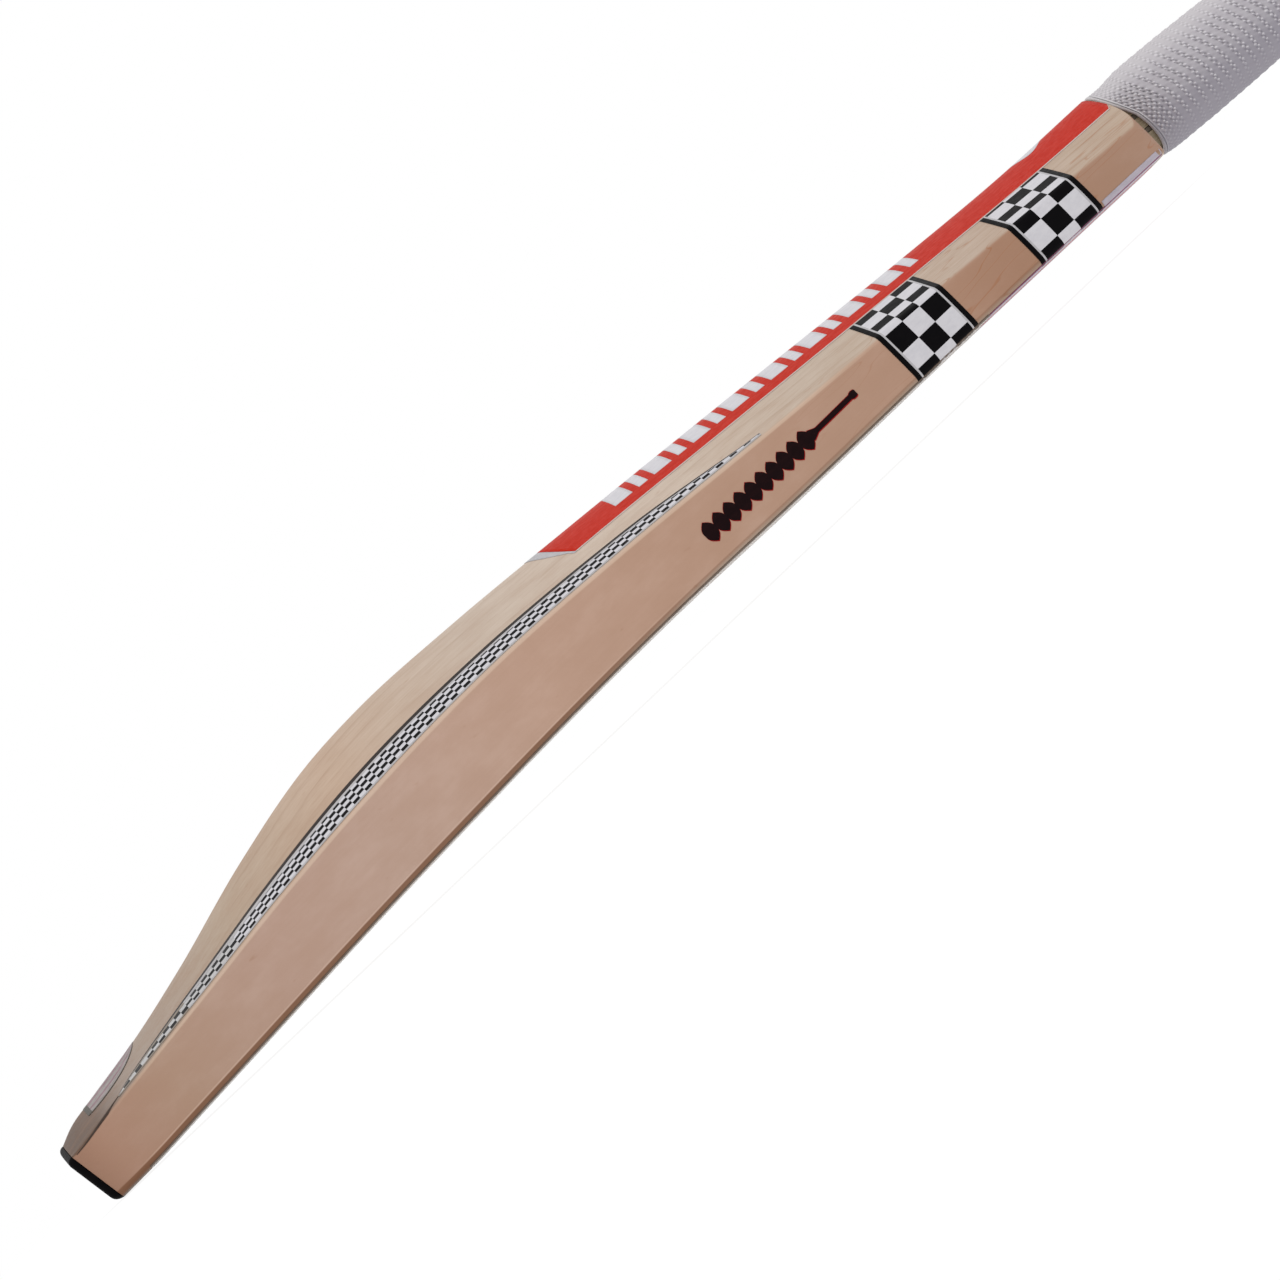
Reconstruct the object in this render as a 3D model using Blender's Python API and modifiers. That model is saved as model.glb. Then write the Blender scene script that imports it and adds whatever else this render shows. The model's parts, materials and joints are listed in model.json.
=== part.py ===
"""Cricket bat: willow blade, spliced cane handle, rubber grip, toe guard, face sheet and labels.

Every piece is drawn in the bat's own frame and parented to an empty, which lays the bat face down.
Bat frame: x runs from the toe to the handle, y across the blade, z from the face to the spine,
and x = z = 0 is near the toe's corner at the face.
"""

import math

import bmesh
import bpy
import numpy as np
from mathutils import Matrix, Vector

MM = 0.001
GAP = 0.3 * MM

# Blade
BLADE_LENGTH = 565 * MM
HALF_WIDTH = 53.3 * MM
EDGE_BULGE = 0.4 * MM
FACE_CROWN = 0.8 * MM
FACE_CORNER = 4.5 * MM
BACK_CORNER = 2.2 * MM
RIDGE_ROUNDING = 8 * MM
BACK_FULLNESS = 0.12
TOE_SLANT = math.tan(math.radians(8))
SLANT_REACH = 60 * MM
TOE_ROUND = (9 * MM, 6 * MM)
SHOULDER_ROUND = (5 * MM, 12 * MM)

# Stations along the blade, in mm: place, height of the face, edge thickness, depth at the spine
STATIONS = (
    (0, 0.0, 23.5, 29.3),
    (8, 0.0, 24.6, 32.8),
    (20, 0.1, 26.4, 34.9),
    (40, 1.0, 28.0, 37.4),
    (75, 2.5, 30.4, 43.8),
    (120, 4.5, 33.5, 54.1),
    (165, 6.1, 35.4, 61.1),
    (195, 6.8, 36.0, 61.9),
    (240, 7.6, 35.4, 58.8),
    (300, 7.4, 32.0, 53.6),
    (375, 5.0, 27.3, 48.4),
    (470, 2.8, 21.4, 40.6),
    (520, 1.2, 18.4, 37.9),
    (565, -0.4, 15.8, 37.6),
)

# Points of half a section, from the middle of the face to the ridge, and where its corners lie
FACE_POINTS = 4
CORNER_STEPS = 4
EDGE_POINTS = 3
BACK_STEPS = 3
SLOPE_SHARES = (0.86, 0.68, 0.5, 0.33, 0.2, 0.1, 0.0)
FACE_CORNER_START = FACE_POINTS
FACE_CORNER_END = FACE_POINTS + CORNER_STEPS
BACK_CORNER_INDEX = FACE_CORNER_END + EDGE_POINTS + BACK_STEPS

# Toe guard
GUARD_START = -2 * MM
GUARD_THICKNESS = 3 * MM
GUARD_PROUD = 0.3 * MM
GUARD_ROUNDING = 2.2 * MM
GUARD_END = GUARD_START + GUARD_THICKNESS
BLADE_START = GUARD_END + GAP

# Splice and handle
SPLICE_LENGTH = 150 * MM
SPLICE_HALF_WIDTH = 16.5 * MM
SPLICE_TIP = 1.5 * MM
HANDLE_START = Vector((575 * MM, 0, 18.2 * MM))
HANDLE_DROP = math.radians(5.2)
HANDLE_LENGTH = 280 * MM
HANDLE_SIDES = 0.9
CORE_LOW = -9 * MM
CORE_RADII = ((-9, 15.9), (15, 15.9), (40, 15.7), (90, 14.5), (150, 14.0), (280, 14.0))
CORE_PLACES = (15 * MM, 40 * MM, 65 * MM, 90 * MM, 120 * MM, 150 * MM)
ROW_HEIGHTS = (-7.2 * MM, 0, 7.2 * MM)
SPRING_THICKNESS = 1.6 * MM
COLUMN_EDGE = 4.9 * MM
MIDDLE_COLUMN_START = -170 * MM
OUTER_COLUMN_START = -104 * MM
PAST_HANDLE = 60 * MM
TWINE_THICKNESS = 1 * MM
TWINE_SPAN = (4 * MM, 277 * MM)

# Grip
GRIP_THICKNESS = 1.9 * MM
GRIP_SIDES = 0.92
GRIP_ROLL = 276 * MM
GRIP_END = 279 * MM
GRIP_SHARES = (0, 0.01, 0.025, 0.045, 0.075, 0.11, 0.16, 0.23, 0.31, 0.4, 0.52, 1)
GRIP_RADII = ((-10, 18.4), (-1.5, 18.6), (4, 19.5), (12, 19.85), (40, 19.6), (90, 18.2),
              (150, 17.6), (276, 17.6), (279, 17.3))
RIM_LOW = -2.5 * MM
RIM_TILT = -5.3 * MM
RIM_SWEEP = -2.2 * MM
RIM_SAG = -3.6 * MM
GRIP_FACETS = 32
TWINE_FACETS = 28

# Sheet and labels
SHEET_THICKNESS = 0.3 * MM
LABEL_THICKNESS = 0.2 * MM
SHEET_SPAN = (16 * MM, 466 * MM)
FACE_LABEL_SPAN = (466.3 * MM, 560 * MM)
FACE_SHEET_MARGIN = 0.4 * MM
SPINE_LABEL_HALF = 30 * MM
SPINE_LABEL_SPAN = (293 * MM, 563 * MM)
SPINE_LABEL_POINT = 8 * MM
TAIL_POINT = 14 * MM
TAIL_LEAST = 0.8 * MM
SPINE_COLUMNS = 13
BANDS = {"lower": (428.4 * MM, 460.6 * MM), "upper": (494.5 * MM, 527.2 * MM)}
BAND_SHARES = np.linspace(0, 1, 26)
STRIP_LOW = -1.2 * MM
STRIP_SHARES = np.linspace(0, 1, 9) ** 1.6
TOE_LABEL_SPAN = (15 * MM, 43.8 * MM)
TOE_LABEL_CENTRE = 24 * MM
TOE_LABEL_LENGTH = 20 * MM
TOE_LABEL_HALF = 31 * MM
DECAL_SPAN = (328 * MM, 408 * MM)
DECAL_MIDDLES = (-18.2 * MM, -12.1 * MM)
DECAL_LOZENGES = 10
DECAL_LOZENGE_SPAN = 56 * MM
DECAL_HALF_HEIGHTS = (1.2 * MM, 4.6 * MM)
DECAL_SHARES = np.linspace(0, 1, 5)

# Upper outline of the edge strips, in mm: place, distance up from the back corner
STRIP_OUTLINE = (
    (27, 0.4), (32, 4.4), (40, 7.0), (50, 9.6), (60, 11.4), (100, 12.7), (135, 13.7), (170, 14.1),
    (222, 13.2), (260, 12.2), (292, 11.0), (322, 8.5), (340, 5.6), (352, 3.4), (362, 1.6), (371, 0.6),
)

# Place along the bat that lies over the middle of its length when it is laid face down
BOX_CENTRE_X = 424.01 * MM

MATERIALS = {
    "willow": ((0.60, 0.43, 0.30), 0.45, 0.0),
    "cane": ((0.66, 0.50, 0.30), 0.55, 0.0),
    "spring_rubber": ((0.05, 0.05, 0.05), 0.8, 0.0),
    "twine": ((0.72, 0.66, 0.52), 0.85, 0.0),
    "grip_rubber": ((0.66, 0.63, 0.67), 0.6, 0.0),
    "toe_rubber": ((0.02, 0.015, 0.02), 0.55, 0.0),
    "clear_sheet": ((0.72, 0.66, 0.60), 0.25, 0.0),
    "red_label": ((0.58, 0.05, 0.03), 0.35, 0.0),
    "silver_label": ((0.55, 0.55, 0.57), 0.3, 0.3),
    "chequer_label": ((0.35, 0.35, 0.36), 0.35, 0.0),
    "black_decal": ((0.02, 0.01, 0.01), 0.4, 0.0),
}


def clear_scene():
    for obj in list(bpy.data.objects):
        bpy.data.objects.remove(obj, do_unlink=True)


def collection(name):
    made = bpy.data.collections.new(name)
    bpy.context.scene.collection.children.link(made)
    return made


def material(name):
    made = bpy.data.materials.get(name)
    if made:
        return made
    made = bpy.data.materials.new(name)
    made.use_nodes = True
    shader = made.node_tree.nodes["Principled BSDF"]
    colour, roughness, metallic = MATERIALS[name]
    shader.inputs["Base Color"].default_value = (*colour, 1)
    shader.inputs["Roughness"].default_value = roughness
    shader.inputs["Metallic"].default_value = metallic
    return made


def object_from(name, verts, faces, material_name, where):
    mesh = bpy.data.meshes.new(name)
    mesh.from_pydata([tuple(v) for v in verts], [], faces)
    mesh.shade_smooth()
    mesh.set_sharp_from_angle(angle=math.radians(30))
    mesh.materials.append(material(material_name))
    obj = bpy.data.objects.new(name, mesh)
    where.objects.link(obj)
    return obj


def curve_through(table, x):
    """A smooth cubic through the table's (place, value) pairs, in the table's own units."""
    places = [row[0] for row in table]
    values = [row[1] for row in table]
    slopes = np.gradient(values, places)
    x = min(max(x, places[0]), places[-1])
    i = min(int(np.searchsorted(places, x, side="right")) - 1, len(places) - 2)
    span = places[i + 1] - places[i]
    t = (x - places[i]) / span
    start = values[i] * (1 + 2 * t) * (1 - t) ** 2 + values[i + 1] * t * t * (3 - 2 * t)
    return start + span * (slopes[i] * t * (1 - t) ** 2 - slopes[i + 1] * t * t * (1 - t))


def station(x, column):
    return curve_through([(row[0], row[column]) for row in STATIONS], x / MM) * MM


def half_width(x):
    """Half the blade's width in plan, with a rounded toe and rounded shoulders."""
    toe_x, toe_y = TOE_ROUND
    shoulder_x, shoulder_y = SHOULDER_ROUND
    width = HALF_WIDTH
    if x < toe_x:
        width -= toe_y * (1 - math.sqrt(max(0, 1 - (1 - x / toe_x) ** 2)))
    past = (x - (BLADE_LENGTH - shoulder_x)) / shoulder_x
    if past > 0:
        width -= shoulder_y * (1 - math.sqrt(max(0, 1 - past * past)))
    return width


def face_height(x, y):
    return station(x, 1) + FACE_CROWN * (y / HALF_WIDTH) ** 2


def back_height(x, y):
    """The back slopes from the edges up to a rounded ridge."""
    ridge = RIDGE_ROUNDING
    full = math.hypot(HALF_WIDTH, ridge)
    rise = (full - math.hypot(y, ridge)) / (full - ridge)
    rise += BACK_FULLNESS * rise * (1 - rise)
    edge, spine = station(x, 2), station(x, 3)
    return station(x, 1) + edge + (spine - edge) * rise


def corner(before, at, after, size, steps):
    """Points of a rounded corner, as a quadratic curve from one side to the other."""
    start = at + (before - at).normalized() * size
    end = at + (after - at).normalized() * size
    return [
        start * (1 - t) ** 2 + at * 2 * t * (1 - t) + end * t * t
        for t in np.linspace(0, 1, steps + 1)
    ]


def half_section(x):
    """One side of the blade's section at x, from the middle of the face round to the ridge, as (y, z)."""
    wide = half_width(x)
    face_ys = np.linspace(0, wide - FACE_CORNER, FACE_POINTS + 1)
    face = [Vector((y, face_height(x, y))) for y in face_ys]
    low = Vector((wide, face_height(x, wide)))
    high = Vector((wide, back_height(x, wide)))
    low_corner = corner(face[-1], low, high, FACE_CORNER, CORNER_STEPS)
    slope_start = Vector((wide - BACK_CORNER, back_height(x, wide - BACK_CORNER)))
    high_corner = corner(low, high, slope_start, BACK_CORNER, BACK_STEPS)
    sides = []
    for t in np.linspace(0, 1, EDGE_POINTS + 2)[1:-1]:
        point = low_corner[-1].lerp(high_corner[0], t)
        point.x += EDGE_BULGE * 4 * t * (1 - t)
        sides.append(point)
    slope_ys = [(wide - BACK_CORNER) * share for share in SLOPE_SHARES]
    slope = [Vector((y, back_height(x, y))) for y in slope_ys]
    return face[:-1] + low_corner + sides + high_corner + slope


def place(x, y, z):
    """A point of the blade. The toe's end leans, and the lean fades out along the blade."""
    fade = max(0, 1 - x / SLANT_REACH) ** 2
    return Vector((x - TOE_SLANT * fade * z, y, z))


def full_section(x, half):
    right = [place(x, y, z) for y, z in half]
    left = [place(x, -y, z) for y, z in half[-2:0:-1]]
    return right + left


def loft(rings, closed_ends=True):
    """Vertices and faces of a tube through rings of equal counts, which run anticlockwise about +x."""
    count = len(rings[0])
    verts = [point for ring in rings for point in ring]
    faces = []
    for i in range(len(rings) - 1):
        for j in range(count):
            k = (j + 1) % count
            faces.append((i * count + j, i * count + k, (i + 1) * count + k, (i + 1) * count + j))
    if closed_ends:
        last = (len(rings) - 1) * count
        faces.append(tuple(reversed(range(count))))
        faces.append(tuple(range(last, last + count)))
    return verts, faces


def outward(half, distance):
    """The half section moved outwards by distance."""
    moved = []
    for i, point in enumerate(half):
        before = half[i - 1] if i else Vector((-half[1].x, half[1].y))
        after = half[i + 1] if i < len(half) - 1 else Vector((-half[i - 1].x, half[i - 1].y))
        along = (after - before).normalized()
        moved.append(point + Vector((along.y, -along.x)) * distance)
    return moved


def blade_places():
    toe = [BLADE_START, 2.6 * MM, 4.5 * MM, 6.5 * MM, 9 * MM, 12 * MM, 16 * MM, 22 * MM]
    shoulder_x = SHOULDER_ROUND[0]
    body = list(np.linspace(30 * MM, BLADE_LENGTH - shoulder_x, 34))
    turns = np.radians((20, 38, 54, 68, 80, 90))
    return toe + body + [BLADE_LENGTH - shoulder_x * (1 - math.sin(a)) for a in turns]


def splice_half_width(x):
    """The handle's wedge in plan: a V from the shoulders down to its tip."""
    share = (x - (BLADE_LENGTH - SPLICE_LENGTH)) / SPLICE_LENGTH
    return SPLICE_TIP + (SPLICE_HALF_WIDTH - SPLICE_TIP) * share


def splice_cutter(where):
    tip = BLADE_LENGTH - SPLICE_LENGTH - GAP
    top = BLADE_LENGTH + 20 * MM
    outline = [(tip, SPLICE_TIP + GAP), (top, splice_half_width(top) + GAP)]
    outline += [(x, -y) for x, y in reversed(outline)]
    rings = [[Vector((x, y, z)) for x, y in outline] for z in (-40 * MM, 120 * MM)]
    verts, faces = loft(rings)
    cutter = object_from("splice_cutter", verts, faces, "cane", where)
    recalculate(cutter)
    cutter.hide_render = True
    cutter.display_type = "WIRE"
    return cutter


def recalculate(obj):
    """Faces turned outwards."""
    mesh = bmesh.new()
    mesh.from_mesh(obj.data)
    bmesh.ops.recalc_face_normals(mesh, faces=mesh.faces)
    mesh.to_mesh(obj.data)
    mesh.free()


def boolean(obj, other, operation):
    modifier = obj.modifiers.new(other.name, "BOOLEAN")
    modifier.operation = operation
    modifier.solver = "EXACT"
    modifier.object = other


def make_blade(where, cutters):
    verts, faces = loft([full_section(x, half_section(x)) for x in blade_places()])
    blade = object_from("blade", verts, faces, "willow", where)
    recalculate(blade)
    boolean(blade, splice_cutter(cutters), "DIFFERENCE")


def make_toe_guard(where):
    """A rubber plate with rounded outer corners."""
    rounding = [
        (GUARD_START + GUARD_ROUNDING * (1 - math.sin(a)), GUARD_PROUD - GUARD_ROUNDING * (1 - math.cos(a)))
        for a in np.radians((90, 55, 25, 0))
    ]
    rings = []
    for x, proud in rounding + [(GUARD_END, GUARD_PROUD)]:
        half = outward(half_section(BLADE_START), proud)
        rings.append([p - Vector((BLADE_START - x, 0, 0)) for p in full_section(BLADE_START, half)])
    verts, faces = loft(rings)
    recalculate(object_from("toe_guard", verts, faces, "toe_rubber", where))


def handle_point(along, across, height):
    """A point of the handle's own frame, whose axis drops towards the face."""
    axis = Vector((math.cos(HANDLE_DROP), 0, -math.sin(HANDLE_DROP)))
    up = Vector((math.sin(HANDLE_DROP), 0, math.cos(HANDLE_DROP)))
    return HANDLE_START + axis * along + Vector((0, across, 0)) + up * height


def wedge_ring(x):
    """The handle's section inside the blade, flush with the face and the back."""
    wide = splice_half_width(x)
    across = np.linspace(-wide, wide, 8)
    bottom = [Vector((x, y, face_height(x, y))) for y in across]
    top = [Vector((x, y, back_height(x, y))) for y in reversed(across)]
    right = [bottom[-1].lerp(top[0], t) for t in np.linspace(0, 1, 8)[1:-1]]
    left = [top[-1].lerp(bottom[0], t) for t in np.linspace(0, 1, 8)[1:-1]]
    return bottom + right + top + left


def core_ring(along):
    radius = curve_through(CORE_RADII, along / MM) * MM
    bottom = np.linspace(225, 315, 8)
    right = np.linspace(315, 405, 8)[1:-1]
    angles = np.radians(np.concatenate((bottom, right, bottom - 180, right - 180)))
    return [
        handle_point(along, radius * HANDLE_SIDES * math.cos(a), radius * math.sin(a))
        for a in angles
    ]


def core_mesh():
    places = np.linspace(BLADE_LENGTH - SPLICE_LENGTH, BLADE_LENGTH - 1.5 * MM, 8)
    alongs = (CORE_LOW, *CORE_PLACES, HANDLE_LENGTH)
    return loft([wedge_ring(x) for x in places] + [core_ring(t) for t in alongs])


def cell_cutter(name, alongs, acrosses, heights, where):
    """A box in the handle's frame."""
    bm = bmesh.new()
    bmesh.ops.create_cube(bm, size=1)
    centre = [(low + high) / 2 for low, high in (alongs, acrosses, heights)]
    sides = [high - low for low, high in (alongs, acrosses, heights)]
    bmesh.ops.scale(bm, vec=sides, verts=bm.verts)
    bmesh.ops.rotate(bm, matrix=Matrix.Rotation(HANDLE_DROP, 3, "Y"), verts=bm.verts)
    bmesh.ops.translate(bm, vec=handle_point(*centre), verts=bm.verts)
    mesh = bpy.data.meshes.new(name)
    bm.to_mesh(mesh)
    bm.free()
    cutter = bpy.data.objects.new(name, mesh)
    cutter.hide_render = True
    cutter.display_type = "WIRE"
    where.objects.link(cutter)
    return cutter


def handle_slice(name, material_name, alongs, acrosses, heights, where, cutters):
    verts, faces = core_mesh()
    piece = object_from(name, verts, faces, material_name, where)
    recalculate(piece)
    boolean(piece, cell_cutter(name + "_cutter", alongs, acrosses, heights, cutters), "INTERSECT")


def make_handle(where, cutters):
    """Four rows of three canes, with a rubber spring strip between the rows."""
    side_gap = SPRING_THICKNESS / 2 + GAP
    top = HANDLE_LENGTH + PAST_HANDLE
    sides = (-PAST_HANDLE, PAST_HANDLE)
    levels = (-PAST_HANDLE, *ROW_HEIGHTS, PAST_HANDLE)
    columns = {
        "left": (OUTER_COLUMN_START, (COLUMN_EDGE + GAP / 2, PAST_HANDLE)),
        "middle": (MIDDLE_COLUMN_START, (-COLUMN_EDGE + GAP / 2, COLUMN_EDGE - GAP / 2)),
        "right": (OUTER_COLUMN_START, (-PAST_HANDLE, -COLUMN_EDGE - GAP / 2)),
    }
    for row in range(len(levels) - 1):
        heights = (levels[row] + side_gap, levels[row + 1] - side_gap)
        for column, (start, acrosses) in columns.items():
            name = f"handle_cane_{row + 1}_{column}"
            handle_slice(name, "cane", (start, top), acrosses, heights, where, cutters)
    for number, level in enumerate(ROW_HEIGHTS, 1):
        heights = (level - SPRING_THICKNESS / 2, level + SPRING_THICKNESS / 2)
        name = f"handle_spring_{number}"
        alongs = (MIDDLE_COLUMN_START, top)
        handle_slice(name, "spring_rubber", alongs, sides, heights, where, cutters)


def sleeve(name, rings, thickness, material_name, where):
    """An open tube with its wall added outside the rings, or inside them for a negative thickness."""
    verts, faces = loft(rings, closed_ends=False)
    obj = object_from(name, verts, faces, material_name, where)
    wall = obj.modifiers.new("Wall", "SOLIDIFY")
    wall.thickness = abs(thickness)
    wall.offset = 1 if thickness > 0 else -1


def make_twine(where):
    angles = np.linspace(0, 2 * math.pi, TWINE_FACETS, endpoint=False)
    rings = []
    for along in (TWINE_SPAN[0], *CORE_PLACES, TWINE_SPAN[1]):
        radius = curve_through(CORE_RADII, along / MM) * MM
        deep = radius + GAP
        wide = radius * HANDLE_SIDES + GAP
        rings.append([handle_point(along, wide * math.cos(a), deep * math.sin(a)) for a in angles])
    sleeve("twine_binding", rings, TWINE_THICKNESS, "twine", where)


def rim_along(angle):
    """Where the grip's lower rim lies: lowest at the back, highest at the face and the sides."""
    up = math.sin(angle)
    return RIM_LOW + RIM_TILT * up + RIM_SWEEP * up * up + RIM_SAG * max(up, 0) * (1 - up * up)


def make_grip(where):
    angles = np.linspace(0, 2 * math.pi, GRIP_FACETS, endpoint=False)
    rings = []
    for share in GRIP_SHARES:
        alongs = [rim_along(a) + (GRIP_ROLL - rim_along(a)) * share for a in angles]
        rings.append([grip_point(t, a) for t, a in zip(alongs, angles)])
    rings.append([grip_point(GRIP_END, a) for a in angles])
    sleeve("grip", rings, -GRIP_THICKNESS, "grip_rubber", where)


def grip_point(along, angle):
    radius = curve_through(GRIP_RADII, along / MM) * MM
    return handle_point(along, radius * GRIP_SIDES * math.cos(angle), radius * math.sin(angle))


def skin(name, rows, thickness, material_name, where):
    """A thin sheet from rows of points, with its wall added on the outer side."""
    count = len(rows[0])
    verts = [point for row in rows for point in row]
    faces = [
        (i * count + j, i * count + j + 1, (i + 1) * count + j + 1, (i + 1) * count + j)
        for i in range(len(rows) - 1)
        for j in range(count - 1)
    ]
    obj = object_from(name, verts, faces, material_name, where)
    wall = obj.modifiers.new("Wall", "SOLIDIFY")
    wall.thickness = thickness
    wall.offset = 1


def girth(x):
    """The half section moved out by the gap, and each point's distance round it from the back corner."""
    half = outward(half_section(x), GAP)
    lengths = [(b - a).length for a, b in zip(half, half[1:])]
    steps = np.concatenate(([0], np.cumsum(lengths)))
    return half, steps - steps[BACK_CORNER_INDEX]


def girth_point(x, reach, side):
    """A point on the skin line, reach from the back corner: positive up the back, negative down the edge."""
    half, reaches = girth(x)
    y = np.interp(reach, reaches, [p.x for p in half])
    z = np.interp(reach, reaches, [p.y for p in half])
    return place(x, side * y, z)


def girth_skin(name, places, low, high, shares, side, material_name, where):
    """A label between two lines given as reaches from the back corner, with points at shares of the way up."""
    rows = []
    for x in places:
        reaches = low(x) + (high(x) - low(x)) * shares
        row = [girth_point(x, reach, side) for reach in reaches]
        rows.append(row if side > 0 else row[::-1])
    skin(name, rows, LABEL_THICKNESS, material_name, where)


def face_rows(places, half):
    return [
        [place(x, y, face_height(x, y) - GAP) for y in np.linspace(-half, half, 7)]
        for x in places
    ]


def make_face_sheet(where):
    half = HALF_WIDTH - FACE_CORNER - FACE_SHEET_MARGIN
    rows = face_rows(np.linspace(*SHEET_SPAN, 24), half)
    skin("face_sheet", rows, SHEET_THICKNESS, "clear_sheet", where)


def make_face_label(where):
    rows = []
    for x in np.linspace(*FACE_LABEL_SPAN, 8):
        half = half_width(x) - FACE_CORNER - FACE_SHEET_MARGIN
        rows += face_rows([x], half)
    skin("face_label", rows, LABEL_THICKNESS, "silver_label", where)


def spine_rows(starts, ends, count):
    """Rows along the back between two outlines, each given for the same places across the blade."""
    across = np.linspace(-1, 1, len(starts)) * SPINE_LABEL_HALF
    rows = []
    for t in np.linspace(0, 1, count):
        row = []
        for y, start, end in zip(across, starts, ends):
            x = start + (end - start) * t
            row.append(place(x, y, back_height(x, y) + GAP))
        rows.append(row[::-1])
    return rows


def make_spine_label(where):
    """The red label down the spine, with a silver chevron tail beyond its pointed lower end."""
    shares = 1 - np.abs(np.linspace(-1, 1, SPINE_COLUMNS)) ** 1.5
    low, high = SPINE_LABEL_SPAN
    red_starts = low - SPINE_LABEL_POINT * shares
    red_rows = spine_rows(red_starts, [high] * SPINE_COLUMNS, 16)
    skin("spine_label", red_rows, LABEL_THICKNESS, "red_label", where)
    tail_ends = red_starts - GAP
    tail_starts = np.minimum(low - GAP - TAIL_POINT * shares, tail_ends - TAIL_LEAST)
    tail_rows = spine_rows(tail_starts, tail_ends, 4)
    skin("spine_label_tail", tail_rows, LABEL_THICKNESS, "silver_label", where)


def label_edge_reach(x):
    """How far up the back from its corner the spine label's side lies."""
    half, reaches = girth(x)
    inward = [-p.x for p in half[BACK_CORNER_INDEX:]]
    return np.interp(-SPINE_LABEL_HALF - GAP, inward, reaches[BACK_CORNER_INDEX:])


def face_edge_reach(x):
    """How far down from the back corner the face corner ends."""
    return girth(x)[1][FACE_CORNER_START] + FACE_SHEET_MARGIN


def make_bands(where):
    for level, (low, high) in BANDS.items():
        for word, side in (("left", 1), ("right", -1)):
            girth_skin(f"band_{level}_{word}", np.linspace(low, high, 4), face_edge_reach,
                       label_edge_reach, BAND_SHARES, side, "chequer_label", where)


def strip_high(x):
    return curve_through(STRIP_OUTLINE, x / MM) * MM


def make_edge_strips(where):
    """Long leaves, widest before the middle of the blade, that start just round the back corner."""
    low, high = STRIP_OUTLINE[0][0] * MM, STRIP_OUTLINE[-1][0] * MM
    places = low + (high - low) * np.linspace(0, 1, 34) ** 1.6
    for word, side in (("left", 1), ("right", -1)):
        girth_skin(f"edge_strip_{word}", places, lambda x: STRIP_LOW, strip_high, STRIP_SHARES, side,
                   "chequer_label", where)


def make_toe_label(where):
    """A label with a rounded outline, cut straight towards the toe."""
    rows = []
    for x in np.linspace(*TOE_LABEL_SPAN, 10):
        half = TOE_LABEL_HALF * math.sqrt(1 - ((x - TOE_LABEL_CENTRE) / TOE_LABEL_LENGTH) ** 2)
        ys = np.linspace(half, -half, 15)
        rows.append([place(x, y, back_height(x, y) + GAP) for y in ys])
    skin("toe_label", rows, LABEL_THICKNESS, "silver_label", where)


def decal_half_height(x):
    """The edge decal: a chain of lozenges that ends in a plain bar."""
    narrow, broad = DECAL_HALF_HEIGHTS
    run = (x - DECAL_SPAN[0]) / DECAL_LOZENGE_SPAN * DECAL_LOZENGES
    if run > DECAL_LOZENGES:
        return narrow
    return narrow + (broad - narrow) * (1 - abs(2 * (run % 1) - 1))


def decal_middle(x):
    """The decal's middle line, as a reach from the back corner."""
    return np.interp(x, DECAL_SPAN, DECAL_MIDDLES)


def make_edge_decals(where):
    step = DECAL_LOZENGE_SPAN / DECAL_LOZENGES / 2
    places = [DECAL_SPAN[0] + i * step for i in range(2 * DECAL_LOZENGES + 1)] + [DECAL_SPAN[1]]
    for word, side in (("left", 1), ("right", -1)):
        girth_skin(f"edge_decal_{word}", places, lambda x: decal_middle(x) - decal_half_height(x),
                   lambda x: decal_middle(x) + decal_half_height(x), DECAL_SHARES, side,
                   "black_decal", where)


def lay_down(parts):
    """Parents every piece to an empty that lays the bat on its toe guard and the end of its grip."""
    toe = Vector((GUARD_START + GUARD_ROUNDING, 0, -GUARD_PROUD))
    end = handle_point(GRIP_ROLL, 0, -curve_through(GRIP_RADII, GRIP_ROLL / MM) * MM)
    tilt = math.atan2(toe.z - end.z, end.x - toe.x)
    turned = Matrix.Rotation(-tilt, 3, "Y") @ toe
    pose = bpy.data.objects.new("bat_pose", None)
    pose.rotation_euler = (0, -tilt, 0)
    pose.location = (-BOX_CENTRE_X, 0, -turned.z)
    parts.objects.link(pose)
    for obj in bpy.data.objects:
        if obj != pose:
            obj.parent = pose


def main():
    clear_scene()
    parts = collection("cricket_bat")
    cutters = collection("cutters")
    make_blade(parts, cutters)
    make_toe_guard(parts)
    make_handle(parts, cutters)
    make_twine(parts)
    make_grip(parts)
    make_face_sheet(parts)
    make_face_label(parts)
    make_spine_label(parts)
    make_bands(parts)
    make_edge_strips(parts)
    make_toe_label(parts)
    make_edge_decals(parts)
    lay_down(parts)


main()
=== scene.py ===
"""Looks of the cricket bat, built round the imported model.

Shapes are worked out in millimetres in the bat's own frame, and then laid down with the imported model:
x runs from the toe to the handle, y across the blade, z from the face to the spine.
"""

import functools
import json
import math

import bpy
import numpy as np
from mathutils import Matrix, Vector


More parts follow.
